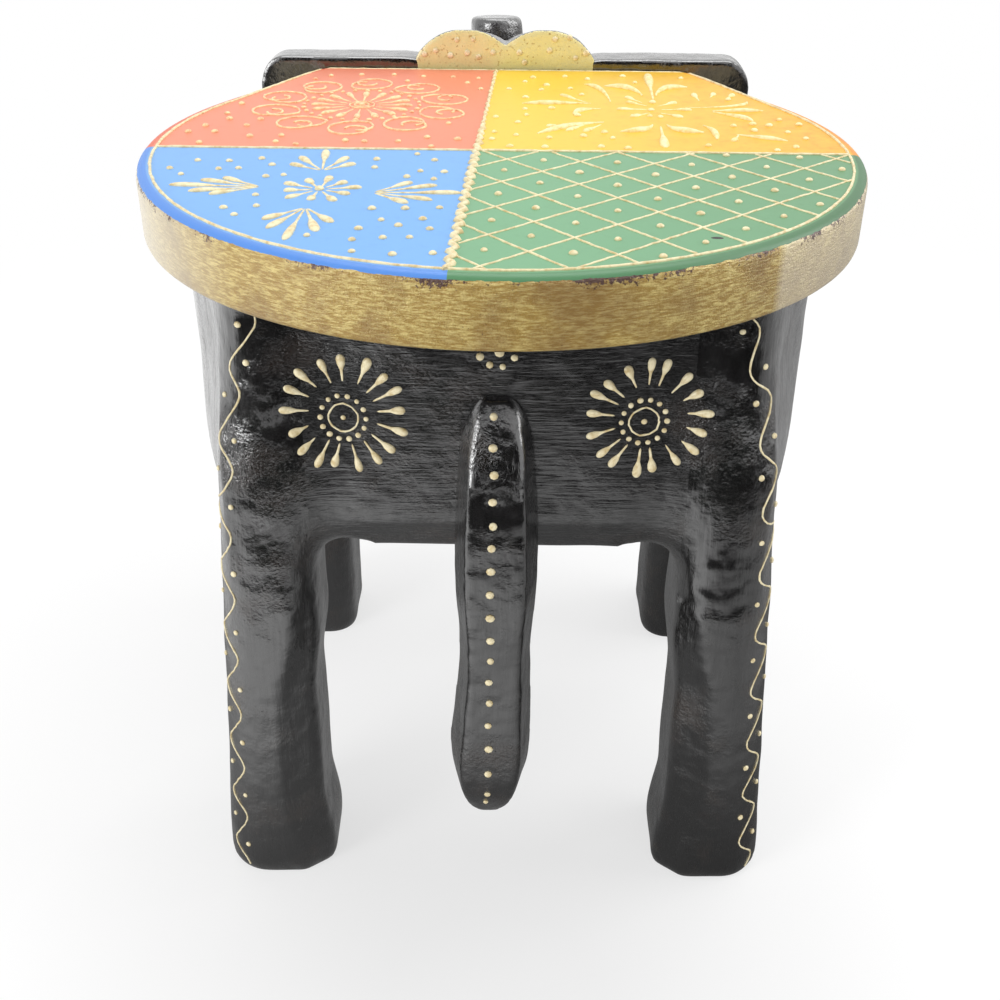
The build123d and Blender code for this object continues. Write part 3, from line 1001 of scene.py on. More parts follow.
@dataclass
class SoftCarving:
    """One carved block that keeps its node's shape, with sanded edges and gouge marks."""

    node: str
    name: str
    lacquer: BlackLacquer
    glued_way: Optional[Vector] = None
    glued_length: float = 3 * MM
    grid: float = 1.2 * MM
    sanding: int = 8
    hollow_depth: float = 0.8 * MM
    hollow_width: float = 18 * MM
    hollow_level: float = 0.95

    def shape(self) -> Piece:
        """The softened copy of the node, with its glued end drawn out into the neighbour."""
        piece = from_nodes(self.name, self.node)
        if self.glued_way:
            grown(piece, self.glued_way, self.glued_length)
        soften(piece, self.grid, self.sanding)
        gouge(piece, self.hollow_depth, self.hollow_width, self.hollow_level)
        smooth_shaded(piece)
        return piece

    def build(self) -> Piece:
        """Shapes and lacquers the block."""
        return settled(self.shape(), self.lacquer.make(), "black_lacquer", self.node)


@dataclass
class CarvedTail(SoftCarving):
    """The tail: its tip is drawn out downwards and a little aside, its lower half broadened."""

    sanding: int = 5
    hollow_level: float = 0.3
    drawn_out: tuple[float, float, float] = (-2 * MM, -2 * MM, -10 * MM)
    tip: float = 5 * MM
    reach: float = 70 * MM
    broader: float = 1.1
    broad_part: float = 45 * MM
    broad_reach: float = 40 * MM

    def shape(self) -> Piece:
        """The softened tail."""
        tail = super().shape()
        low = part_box(self.node)[0]
        drawn(tail, lambda vert: vert.co.z < low.z + self.tip, self.drawn_out, self.reach)
        pick(tail, "VERT", lambda vert: low.z < vert.co.z < low.z + self.broad_part)
        bpy.ops.transform.resize(value=(self.broader, 1, 1), center_override=(0, low.y, low.z),
                                 use_proportional_edit=True,
                                 proportional_size=self.broad_reach)
        done()
        return tail


@dataclass
class CarvedHead(SoftCarving):
    """The head: the crown falls away behind the domes, so that only their rear faces stand up."""

    fall: float = 5.5 * MM
    ridge: float = 20 * MM
    crest: float = 1.5 * MM

    def shape(self) -> Piece:
        """The softened head."""
        head = super().shape()
        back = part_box(self.node)[0].y
        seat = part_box("seat_board")[1].z
        drawn(head, lambda vert: vert.co.y > back + self.ridge and vert.co.z > seat,
              (0, 0, -self.fall), self.ridge - self.crest, "LINEAR")
        return head


@dataclass
class CarvedEar(SoftCarving):
    """An ear: its upper edge is crowned a little above the seat."""

    crown: float = 4.5 * MM
    crown_from: float = 50 * MM
    crown_to: float = 106 * MM
    edge: float = 2.5 * MM
    reach: float = 36 * MM

    def shape(self) -> Piece:
        """The softened ear."""
        ear = super().shape()
        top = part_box(self.node)[1].z
        drawn(ear, lambda vert: vert.co.z > top - self.edge
              and self.crown_from < abs(vert.co.x) < self.crown_to, (0, 0, self.crown), self.reach)
        return ear


# ------------------------------------------------------------------ cone-painted ornament
@dataclass
class Ground:
    """A surface that takes ornament, and the flat plan that is cast onto it.

    The plan's axes are two unit directions; ornament is cast from their outer side.
    """

    pieces: Sequence[Piece]
    origin: Vector
    right: Vector
    up: Vector
    reach: float = 0.12

    def __post_init__(self) -> None:
        """Makes ready to cast onto the pieces."""
        self.out = self.right.cross(self.up)
        graph = bpy.context.evaluated_depsgraph_get()
        self.trees = [BVHTree.FromObject(piece, graph) for piece in self.pieces]

    def touch(self, x: float, y: float) -> Optional[tuple[Vector, Vector]]:
        """Finds the surface under a place of the plan.

        Args:
            x: Millimetres to the right.
            y: Millimetres up.

        Returns:
            The place on the surface and its normal, or nothing beside the pieces.
        """
        start = self.origin + self.right * x * MM + self.up * y * MM + self.out * self.reach
        hits = [tree.ray_cast(start, -self.out) for tree in self.trees]
        hits = [hit for hit in hits if hit[0] is not None]
        if not hits:
            return None
        place, normal, _, _ = min(hits, key=lambda hit: hit[3])
        return place, normal


def paste_dot() -> Piece:
    """A low round blob of paste, one unit in radius, standing on the plane."""
    bpy.ops.mesh.primitive_uv_sphere_add(segments=8, ring_count=6, radius=1)
    dot = named("paste_dot")
    buried = -0.6
    pick(dot, "VERT", lambda vert: vert.co.z < buried)
    bpy.ops.mesh.delete(type="VERT")
    pick(dot, "VERT", lambda vert: True)
    bpy.ops.transform.resize(value=(1, 1, PASTE_RISE))
    done()
    smooth_shaded(dot, 180)
    return dot


def paste_drop() -> Piece:
    """A blob of paste one unit in radius at its head, drawn out into a thin tail along -X.

    Returns:
        The drop, with the middle of its head over the origin and its tip TAIL units behind.
    """
    bpy.ops.mesh.primitive_uv_sphere_add(segments=8, ring_count=8, radius=1,
                                         rotation=(0, math.pi / 2, 0))
    drop = named("paste_drop")
    rings = ((-0.383, -0.9, 0.95), (-0.707, -2.1, 0.48), (-0.924, -4.2, 0.62), (-1.0, -TAIL, 1.0))
    for ring, moved, share in rings:
        pick(drop, "VERT", lambda vert: abs(vert.co.x - ring) < 0.02)
        bpy.ops.transform.resize(value=(1, share, share), center_override=(ring, 0, 0))
        bpy.ops.transform.translate(value=(moved - ring, 0, 0))
        done()
    pick(drop, "VERT", lambda vert: True)
    bpy.ops.transform.resize(value=(1, 1, PASTE_RISE), center_override=(0, 0, 0))
    done()
    smooth_shaded(drop, 180)
    return drop


@dataclass
class ConeWork:
    """Raised ornament squeezed from a cone onto one ground, gathered into one piece."""

    name: str
    ground: Ground
    dot_form: Piece
    drop_form: Piece
    seed: int = 1
    blobs: list[Piece] = field(default_factory=list)
    strands: list[list[tuple[Vector, float]]] = field(default_factory=list)
    taken: list[tuple[float, float]] = field(default_factory=list)

    def __post_init__(self) -> None:
        """Starts the hand's own unevenness."""
        self.hand = random.Random(self.seed)

    def put(self, form: Piece, place: Vector, ahead: Vector, normal: Vector,
            size: Vector) -> None:
        """Lays one copy of a blob onto the surface.

        Args:
            form: The blob to copy.
            place: Where it lies.
            ahead: The way its head points.
            normal: The surface's normal.
            size: Its size along the three axes.
        """
        across = normal.cross(ahead).normalized()
        turn = Matrix((across.cross(normal), across, normal)).transposed().to_4x4()
        blob = copied(form, self.name)
        blob.data.transform(Matrix.Translation(place) @ turn @ Matrix.Diagonal((*size, 1)))
        self.blobs.append(blob)

    def dot(self, x: float, y: float, width: float) -> None:
        """Presses one dot onto the ground.

        Args:
            x: Millimetres to the right.
            y: Millimetres up.
            width: Its width in millimetres.
        """
        spot = self.ground.touch(x, y)
        if spot is None:
            return
        wide = width / 2 * MM * self.hand.uniform(0.88, 1.1)
        self.put(self.dot_form, spot[0], self.ground.right, spot[1],
                 Vector((wide * self.hand.uniform(0.92, 1.12), wide, wide)))
        self.taken.append((x, y))

    def dot_ring(self, middle: Plan, count: int, radius: float, width: float) -> None:
        """Presses a ring of even dots.

        Args:
            middle: Its middle.
            count: How many dots it has.
            radius: Its radius.
            width: Width of a dot.
        """
        for step in range(count):
            self.dot(*away(middle, 360 * step / count, radius), width)

    def drop(self, x: float, y: float, angle: float, length: float, width: float) -> None:
        """Pulls one drop with its thin tail at a place and its head farther out.

        Args:
            x: Millimetres to the right, at the thin end.
            y: Millimetres up, at the thin end.
            angle: The way the head lies, in degrees.
            length: From the thin end to the far side of the head, in millimetres.
            width: Width of the head in millimetres.
        """
        head = self.ground.touch(*away((x, y), angle, length - width / 2))
        tail = self.ground.touch(x, y)
        if head is None or tail is None:
            return
        wide = width / 2 * MM
        stretch = (head[0] - tail[0]).length / TAIL
        self.put(self.drop_form, head[0], head[0] - tail[0], head[1],
                 Vector((stretch, wide * self.hand.uniform(0.9, 1.1), wide)))
        self.taken.extend(away((x, y), angle, length * share) for share in (0.25, 0.6, 1))

    def line(self, points: Sequence[Plan], width: float, wobble: float = 0.12,
             swell: float = 0.14) -> None:
        """Draws one strand of paste through the points of a plan.

        Args:
            points: The places it runs through.
            width: Its width in millimetres.
            wobble: How far the hand strays, in millimetres.
            swell: Share by which the width changes.
        """
        strand = []
        for x, y in points:
            spot = self.ground.touch(x + self.hand.uniform(-wobble, wobble),
                                     y + self.hand.uniform(-wobble, wobble))
            if spot is not None:
                radius = width / 2 * self.hand.uniform(1 - swell, 1 + swell)
                strand.append((spot[0] + spot[1] * radius * 0.1 * MM, radius))
            self.taken.append((x, y))
        if len(strand) > 1:
            self.strands.append(strand)

    def petal(self, points: Sequence[Plan], width: float) -> None:
        """Draws a strand that swells from a hair's width and closes again behind its end.

        Args:
            points: The places it runs through.
            width: Its width at the widest place, in millimetres.
        """
        strand = []
        for step, (x, y) in enumerate(points):
            spot = self.ground.touch(x, y)
            if spot is not None:
                full = math.sin(math.pi * (step / (len(points) - 1)) ** 1.5)
                strand.append((spot[0], width / 2 * (0.22 + 0.78 * full)))
            self.taken.append((x, y))
        if len(strand) > 1:
            self.strands.append(strand)

    def clear(self, x: float, y: float, room: float) -> bool:
        """Whether nothing of this work lies within some millimetres of a place."""
        return all(math.hypot(x - other[0], y - other[1]) > room for other in self.taken)

    def sprinkle(self, inside: Callable[[float, float], bool], reach: float, spacing: float,
                 room: float, width: float) -> None:
        """Fills the free ground with loose dots.

        Args:
            inside: Says whether a place may take a dot.
            reach: Half the side of the square that is tried.
            spacing: Usual distance from dot to dot.
            room: Least distance to anything already there.
            width: Width of a dot.
        """
        steps = math.ceil(reach / spacing)
        for row in range(-steps, steps + 1):
            for column in range(-steps, steps + 1):
                x = (column + 0.5 * (row % 2)) * spacing + self.hand.uniform(-0.3, 0.3) * spacing
                y = row * 0.87 * spacing + self.hand.uniform(-0.3, 0.3) * spacing
                if inside(x, y) and self.clear(x, y, room):
                    self.dot(x, y, width)

    def strung(self) -> Optional[Piece]:
        """All strands of the work as one mesh, or nothing if there are none."""
        if not self.strands:
            return None
        curve = bpy.data.curves.new(self.name, "CURVE")
        curve.dimensions = "3D"
        curve.bevel_depth = MM
        curve.bevel_resolution = 1
        curve.use_fill_caps = True
        for strand in self.strands:
            spline = curve.splines.new("POLY")
            spline.points.add(len(strand) - 1)
            for point, (place, radius) in zip(spline.points, strand):
                point.co = (*place, 1)
                point.radius = radius
        strings = bpy.data.objects.new(self.name, curve)
        bpy.context.scene.collection.objects.link(strings)
        only(strings)
        bpy.ops.object.convert(target="MESH")
        strings = bpy.context.object
        smooth_shaded(strings, 180)
        return strings

    def gather(self, paste: bpy.types.Material, slot: str) -> Piece:
        """Joins all of the work into one settled piece.

        Args:
            paste: The paste's material.
            slot: The record's slot that the work belongs to.

        Returns:
            The joined piece.
        """
        strings = self.strung()
        parts = self.blobs + ([strings] if strings else [])
        only(*parts)
        if len(parts) > 1:
            bpy.ops.object.join()
        piece = bpy.context.object
        piece.name = piece.data.name = self.name
        return settled(piece, paste, slot)


# ------------------------------------------------------------------ plans of strands
def away(start: Plan, angle: float, distance: float) -> Plan:
    """The place that lies at an angle in degrees and a distance from another."""
    turn = math.radians(angle)
    return start[0] + distance * math.cos(turn), start[1] + distance * math.sin(turn)


def stepped(corners: Sequence[Plan], step: float) -> list[Plan]:
    """Points at even distances along a run of straight lines.

    Args:
        corners: Ends and corners of the run.
        step: Distance from point to point.

    Returns:
        The points, ends included.
    """
    points = [corners[0]]
    for start, end in zip(corners, corners[1:]):
        count = max(1, round(math.dist(start, end) / step))
        points += [(start[0] + (end[0] - start[0]) * share / count,
                    start[1] + (end[1] - start[1]) * share / count)
                   for share in range(1, count + 1)]
    return points


def ring_line(x: float, y: float, radius: float, squash: float = 1.0) -> list[Plan]:
    """Points on a circle, about one and a half millimetres apart.

    Args:
        x: Its middle, to the right.
        y: Its middle, up.
        radius: Its radius.
        squash: Height against width.

    Returns:
        The points, from the right round to the right again.
    """
    count = max(6, round(4 * radius))
    angles = [math.radians(360 * step / count) for step in range(count + 1)]
    return [(x + radius * math.cos(angle), y + squash * radius * math.sin(angle))
            for angle in angles]


def bent_line(start: Plan, knee: Plan, end: Plan, count: int = 10) -> list[Plan]:
    """Points on a smooth bend that leaves its start towards the knee.

    Args:
        start: Where it starts.
        knee: The corner that it rounds off.
        end: Where it ends.
        count: Into how many steps it is divided.

    Returns:
        The points, ends included.
    """
    points = []
    for step in range(count + 1):
        share = step / count
        points.append(tuple((1 - share) ** 2 * first + 2 * share * (1 - share) * middle
                            + share ** 2 * last
                            for first, middle, last in zip(start, knee, end)))
    return points


def scroll_line(middle: Plan, radius: float, start: float, turn: float) -> list[Plan]:
    """Points on a scroll that winds inwards until less than a quarter of its radius is left.

    Args:
        middle: Its middle.
        radius: Radius at its outer end.
        start: Where the outer end lies, in degrees.
        turn: How far it winds, in degrees.

    Returns:
        The points from outside to inside.
    """
    count = round(abs(turn) / 16)
    shares = [step / count for step in range(count + 1)]
    return [away(middle, start + turn * share, radius * (1 - 0.78 * share)) for share in shares]


# ------------------------------------------------------------------ ornament on the seat
@dataclass
class SeatOrnament:
    """Cone work on the four painted fields, in millimetres about the seat's centre."""

    layout: SeatLayout
    ground: Ground
    dot_form: Piece
    drop_form: Piece
    dot_width: float = 2.8
    fine: float = 0.85
    divider_points: int = 190
    divider_swing: float = 1.25
    divider_beat: float = 0.86
    calm_from: float = -20
    calm_over: float = 60
    narrow_from: float = 25
    spray_lengths: tuple[float, ...] = (15.5, 20, 27, 21, 16)
    star: Plan = (-64, -58)
    star_lengths: tuple[float, float] = (12.0, 10.0)
    flower: Plan = (-61.5, 60)
    scrolls: int = 10
    blossom: Plan = (65, 58)
    mesh_start: Plan = (15.0, -34.0)
    mesh_pitch: float = 19.8
    mesh_angles: tuple[float, float] = (-49, 41.5)
    mesh_rows: range = range(-9, 10)
    scatter_reach: float = 135
    scatter_margin: float = 4.5

    def work(self, name: str, seed: int) -> ConeWork:
        """A fresh piece of cone work on the seat."""
        return ConeWork(name, self.ground, self.dot_form, self.drop_form, seed)

    def in_field(self, left: bool, far: bool, margin: float) -> Callable[[float, float], bool]:
        """A test for places inside one field.

        Args:
            left: The field on the left.
            far: The field towards the head.
            margin: Room kept to dividers and border.

        Returns:
            The test.
        """
        def test(x: float, y: float) -> bool:
            """Whether a place lies inside the field."""
            across = x - self.layout.middle(y)
            along = y - self.layout.divide_y
            return ((-across if left else across) > margin
                    and (along if far else -along) > margin
                    and self.layout.inside(x, y) > self.layout.border_inset + margin)
        return test

    def borders(self) -> ConeWork:
        """The border round the seat, the fine cross line and the wavy line down the middle."""
        work = self.work("seat_border_lines", 3)
        layout = self.layout
        edge = layout.outline(layout.border_inset)
        work.line(stepped([*edge, edge[0]], 3.2), 1.2)
        side = math.sqrt((layout.radius - layout.border_inset) ** 2 - layout.divide_y ** 2)
        work.line(stepped([(-side, layout.divide_y), (side, layout.divide_y)], 3.5), 1.3)
        front = layout.front - layout.front_inset
        rear = -(layout.radius - layout.border_inset)
        waves = []
        for step in range(self.divider_points + 1):
            y = rear + (front - rear) * step / self.divider_points
            calm = 1 - 0.75 * min(1.0, max(0.0, (y - self.calm_from) / self.calm_over))
            swing = self.divider_swing * calm * math.sin(y * self.divider_beat)
            waves.append((layout.middle(y) + swing, y))
        near = [point for point in waves if point[1] < self.narrow_from]
        work.line(near, 2.2, swell=0.2)
        work.line(waves[len(near) - 1:], 1.5, swell=0.3)
        return work

    def spray(self, work: ConeWork, place: Plan, axis: float, spread: float, size: float = 1.0,
              width: float = 3.4) -> None:
        """A fan of five drops that open from one place.

        Args:
            work: The cone work that gets it.
            place: Where the drops meet.
            axis: The way it opens, in degrees.
            spread: Angle from its middle drop to each outer one, in degrees.
            size: Its size against the usual one.
            width: Width of a drop's head.
        """
        for step, length in enumerate(self.spray_lengths):
            angle = axis + spread * (step - 2) / 2
            work.drop(*away(place, angle, 0.8), angle, length * size, width)

    def scatter(self, work: ConeWork, left: bool, far: bool, spacing: float,
                room: float) -> None:
        """Fills what is left free of a field with loose dots.

        Args:
            work: The field's cone work.
            left: The field on the left.
            far: The field towards the head.
            spacing: Usual distance from dot to dot.
            room: Least distance to anything already there.
        """
        work.sprinkle(self.in_field(left, far, self.scatter_margin), self.scatter_reach, spacing,
                      room, self.dot_width)

    def near_left(self) -> ConeWork:
        """Blue field: a star of short drops and four sprays round it."""
        work = self.work("seat_sprays_on_blue", 5)
        for step in range(10):
            angle = 36 * step + 10
            work.drop(*away(self.star, angle, 2.5), angle, self.star_lengths[step % 2], 3.3)
        work.dot(*self.star, 3.4)
        for place, axis, spread, size in (((-66, -36), 94, 55, 0.85), ((-85, -56), 178, 31, 1.05),
                                          ((-45, -61), 1, 42, 1.0), ((-66, -78), 266, 40, 1.03)):
            self.spray(work, place, axis, spread, size)
        self.scatter(work, True, False, 12.6, 6.4)
        return work

    def far_left(self) -> ConeWork:
        """Red field: a ringed flower inside a garland of scrolls."""
        work = self.work("seat_scrolls_on_red", 7)
        work.line(ring_line(*self.flower, 3.2), 1.0)
        work.dot(*self.flower, 2.6)
        for step in range(16):
            angle = 22.5 * step
            work.drop(*away(self.flower, angle, 6.5), angle, 14.5, 3.2)
        work.line(ring_line(*self.flower, 5.4), 0.9)
        work.dot_ring(self.flower, 28, 25, 2.2)
        for step in range(self.scrolls):
            angle = 360 * (step + 0.5) / self.scrolls
            for turn in (470, -110):
                work.line(scroll_line(away(self.flower, angle, 39), 12.2, angle + 150, turn), 1.1,
                          wobble=0.08)
        self.scatter(work, True, True, 13.2, 6.5)
        return work

    def far_right(self) -> ConeWork:
        """Yellow field: a long flower with bent petals and a loose spray on each side."""
        work = self.work("seat_flower_on_yellow", 9)
        x, y = self.blossom
        for right, up, width in ((0.4, 12, 3.3), (-1.4, -1, 3.0), (1.5, -12.5, 3.0),
                                 (-2.8, -11.5, 2.4)):
            work.dot(x + right, y + up, width)
        for side in (-1, 1):
            for turn in (-38, 0, 38):
                angle = turn if side > 0 else 180 - turn
                work.drop(x + side * 2.5 * math.cos(math.radians(turn)),
                          y + 9 * math.sin(math.radians(turn)), angle, 13 - abs(turn) / 20, 3.1)
            for end, out, knee in ((41, 19, 24), (-36, 17, 25)):
                way = 1 if end > 0 else -1
                work.petal(bent_line((x + 3 * side, y + way * knee), (x + 5 * side, y + end),
                                     (x + out * side, y + end)), 3.6)
        work.drop(x - 4, y + 11, 122, 12, 2.8)
        work.drop(x + 1.2, y + 16, 88, 44, 4.8)
        work.drop(x + 0.2, y - 26, 268, 29, 4.2)
        for points, width in ((((38, 67), (22, 66.5), (8, 65.7)), 3.2),
                              (((42, 58), (31, 57), (30, 48)), 3.0),
                              (((42, 36), (28, 32), (14, 17.5)), 3.4),
                              (((47, 70), (46, 98), (37, 102.5)), 2.6),
                              (((79, 62), (108, 62), (107.5, 74)), 1.8),
                              (((90, 56.5), (100, 57), (112, 57.5)), 2.8),
                              (((90, 55), (102, 46), (105, 41)), 2.8),
                              (((83, 33), (88, 25), (86, 12)), 2.8),
                              (((95, 19.5), (104, 15), (114, 11)), 2.6)):
            work.petal(bent_line(*points), width)
        for place, angle, length in (((37, 68), 129, 17), ((36, 35), 232, 15),
                                     ((41, 33), 236, 13), ((28, 28), 170, 10),
                                     ((86.5, 74), 96, 12), ((92, 80), 70, 8), ((99, 78), 62, 9),
                                     ((96, 20), 250, 11)):
            work.drop(*place, angle, length, 3.0)
        for place in ((31.5, 46.5), (104, 35.5), (99.6, 76.5), (38.8, 112), (103, 25.5)):
            work.dot(*place, 3.2)
        self.scatter(work, False, True, 13.2, 6.5)
        return work

    def near_right(self) -> ConeWork:
        """Green field: a slanted lattice with a dot in every mesh."""
        work = self.work("seat_lattice_on_green", 11)
        inside = self.in_field(False, False, -0.2)
        pitch, origin = self.mesh_pitch, Vector(self.mesh_start)
        falling, rising = (Vector(away((0, 0), angle, 1)) for angle in self.mesh_angles)
        for along, aside in ((falling, rising), (rising, falling)):
            for row in self.mesh_rows:
                places = [origin + aside * row * pitch + along * step * 2
                          for step in range(-110, 111)]
                run = [tuple(place) for place in places if inside(*place)]
                if len(run) > 1:
                    work.line(run, self.fine, wobble=0.16)
        work.taken.clear()
        for row in self.mesh_rows:
            for column in self.mesh_rows:
                place = origin + (falling * (row + 0.5) + rising * (column + 0.5)) * pitch
                if self.in_field(False, False, 2.5)(*place):
                    work.dot(*place, self.dot_width)
        return work

    def build(self) -> None:
        """Draws all the seat's cone work."""
        cream = ConePaste("cone_paste_cream").make()
        blush = ConePaste("cone_paste_on_red", "#f3d9a4", "#e59a72").make()
        honey = ConePaste("cone_paste_on_yellow", "#f8eab4", "#ecc86a").make()
        for work, paste in ((self.borders(), cream), (self.near_left(), cream),
                            (self.far_left(), blush), (self.far_right(), honey),
                            (self.near_right(), cream)):
            work.gather(paste, "cream_paint")


# ------------------------------------------------------------------ ornament on the body
class View(Enum):
    """A side of the stool on which ornament is drawn: where its plan lies and its way right."""

    REAR = ((0, -0.25, 0), (1, 0, 0))
    FRONT = ((0, 0.3, 0), (-1, 0, 0))
    LEFT = ((-0.2, 0, 0), (0, -1, 0))
    RIGHT = ((0.2, 0, 0), (0, 1, 0))


@dataclass
class BodyOrnament:
    """Cone work on the black lacquer: rosettes, waves down the legs and rows of dots."""

    pieces: dict[str, Piece]
    dot_form: Piece
    drop_form: Piece
    cast_depth: float = 50 * MM
    rosette_height: float = 213.0
    rosette_places: tuple[float, float] = (-54.0, 51.4)
    flank_height: float = 212.0
    flank_back: float = 12 * MM
    hub_radius: float = 5.3
    wheel_radius: float = 8.1
    wheel_dots: int = 14
    drops: int = 17
    drops_from: float = 11.3
    drop_length: float = 10.8
    wave_swing: float = 3.1
    left_period: float = 27.2
    right_period: float = 26.5
    wave_out: float = 107.5
    wave_leans: tuple[tuple[float, float], ...] = ((0.045, 0), (0.085, 172), (0.15, 215))
    tail_steps: tuple[float, float] = (8.4, 5.0)
    tail_lean: float = 1.9
    dome_height: float = 15.5
    dome_middle: float = 24
    dome_half: float = 21

    def work(self, name: str, seed: int, view: View, *nodes: str) -> ConeWork:
        """Starts a piece of cone work on one side of the stool.

        Args:
            name: The finished piece's name.
            seed: Starts the hand's unevenness.
            view: The side on which it is drawn.
            nodes: The nodes whose pieces carry it.

        Returns:
            The work, still empty.
        """
        origin, right = (Vector(value) for value in view.value)
        ground = Ground([self.pieces[node] for node in nodes], origin, right,
                        Vector((0, 0, 1)), self.cast_depth)
        return ConeWork(name, ground, self.dot_form, self.drop_form, seed)

    def rosette(self, work: ConeWork, x: float, y: float, size: float = 1.0) -> None:
        """A dotted wheel of drops round a ringed dot.

        Args:
            work: The cone work that gets it.
            x: Its middle, to the right.
            y: Its middle, up.
            size: Its size against the usual one.
        """
        work.dot(x, y, 2.0 * size)
        work.line(ring_line(x, y, self.hub_radius * size, 0.96), 0.72, wobble=0.22)
        work.dot_ring((x, y), self.wheel_dots, self.wheel_radius * size, 2.0)
        middle = (x + 0.8 * size, y + 1.5 * size)
        for step in range(self.drops):
            angle = 360 * (step + 0.3) / self.drops + work.hand.uniform(-3, 3)
            work.drop(*away(middle, angle, self.drops_from * size),
                      angle + work.hand.uniform(-5, 5),
                      self.drop_length * size * work.hand.uniform(0.9, 1.08), 3.1 * size)

    def panel(self) -> ConeWork:
        """Rear panel: two rosettes and a small cluster of dots between them."""
        work = self.work("rear_rosettes", 21, View.REAR, "body_block", "leg_rear_left",
                         "leg_rear_right")
        for place in self.rosette_places:
            self.rosette(work, place, self.rosette_height)
        for dot in ((0.6, 239.6, 3.6), (-6, 238, 2.9), (5.7, 237.8, 2.9), (-2.7, 235, 2.6),
                    (1.7, 234.4, 2.6)):
            work.dot(*dot)
        return work

    def wave(self, work: ConeWork, centre: Callable[[float], float], period: float, top: float,
             bottom: float) -> None:
        """A wavy strand down a leg with a dot in every bay.

        Args:
            work: The cone work that gets it.
            centre: Gives the middle of the strand at a height.
            period: Height of one whole wave.
            top: Height of its upper end.
            bottom: Height of its lower end.
        """
        steps = round((top - bottom) / 1.7)
        points = []
        for step in range(steps + 1):
            z = top - (top - bottom) * step / steps
            phase = (top - z) * 2 * math.pi / period
            lean = math.sin(phase + 0.3 * math.sin(phase))
            points.append((centre(z) + self.wave_swing * lean, z))
        work.line(points, 0.75, wobble=0.1)
        for bay in range(int((top - bottom) / period * 2)):
            z = top - period * (0.25 + bay / 2) + work.hand.uniform(-0.8, 0.8)
            aside = self.wave_swing * (0.95 if bay % 2 else -0.95)
            work.dot(centre(z) + aside + work.hand.uniform(-0.4, 0.4), z, 2.3)

    def corner(self, side: int, z: float) -> float:
        """Middle of the strand on a rear leg's outer corner, which leans in more and more.

        Args:
            side: -1 for the left leg and 1 for the right one.
            z: A height in millimetres.

        Returns:
            The place across, in millimetres.
        """
        return side * (self.wave_out - sum(lean * max(0.0, z - start)
                                           for lean, start in self.wave_leans))

    def leg_waves(self) -> list[ConeWork]:
        """Waves on the rear legs' outer corners and on the front legs' outer sides."""
        works = []
        for name, side in SIDES:
            rear = self.work(f"rear_wave_{name}", 30 + side, View.REAR, f"leg_rear_{name}")
            self.wave(rear, lambda z: self.corner(side, z),
                      self.left_period if side < 0 else self.right_period, 253, 3)
            low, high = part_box(f"leg_front_{name}")
            front = self.work(f"front_wave_{name}", 40 + side, View[name.upper()],
                              f"leg_front_{name}")
            self.wave(front, lambda z: side * (low.y + high.y) / 2 / MM, self.left_period, 240, 4)
            works += [rear, front]
        return works

    def tail_dots(self) -> ConeWork:
        """A single row of dots down the tail, closer together at its tip."""
        work = self.work("tail_dots", 51, View.REAR, "tail")
        tip, top = (corner.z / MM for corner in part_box("tail"))
        z = top - 4
        while z > tip:
            aside = -0.9 - self.tail_lean * (top - z) / (top - tip)
            work.dot(aside + work.hand.uniform(-0.4, 0.4), z, 3.0 if z > tip + 18 else 2.3)
            wide, close = self.tail_steps
            step = wide + 0.022 * (top - z) if z > tip + 16 else close
            z -= step + work.hand.uniform(-0.9, 0.9)
        return work

    def flanks(self) -> list[ConeWork]:
        """A rosette in the middle of each side."""
        works = []
        low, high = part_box("body_block")
        middle = ((low.y + high.y) / 2 - self.flank_back) / MM
        for name, side in SIDES:
            work = self.work(f"flank_rosette_{name}", 60 + side, View[name.upper()], "body_block")
            self.rosette(work, side * middle, self.flank_height)
            works.append(work)
        return works

    def domes(self) -> ConeWork:
        """Loose dots on the brass-painted rear of the two domes."""
        work = self.work("dome_dots", 71, View.REAR, "head_block")
        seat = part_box("seat_board")[1].z / MM

        def on_brass(x: float, z: float) -> bool:
            """Whether a place lies inside one of the domes above the seat."""
            aside = (abs(x) - self.dome_middle) / self.dome_half
            rise = self.dome_height * math.sqrt(max(0.0, 1 - aside ** 2))
            return seat + 3 < z < seat + rise
        work.sprinkle(on_brass, 400, 6.6, 4.8, 3.0)
        return work

    def face(self) -> ConeWork:
        """Two almond eyes, a rosette on the forehead and a dotted band over the trunk."""
        work = self.work("face_ornament", 81, View.FRONT, "head_block")
        self.rosette(work, 0, 266, 0.62)
        for side in (-1, 1):
            inner, outer = (side * 19, 226), (side * 36, 232)
            for lift in (8, -7):
                work.line(bent_line(inner, (side * 27, 229 + lift * 1.4), outer), 1.1)
            work.line(bent_line((side * 17, 233), (side * 27, 246), (side * 38, 240)), 1.1)
            work.dot(side * 27.5, 229.4, 4.4)
            for step in range(5):
                work.dot(side * (10 + 7 * step), 249 + 3 * math.sin(step * 1.2), 2.4)
        return work

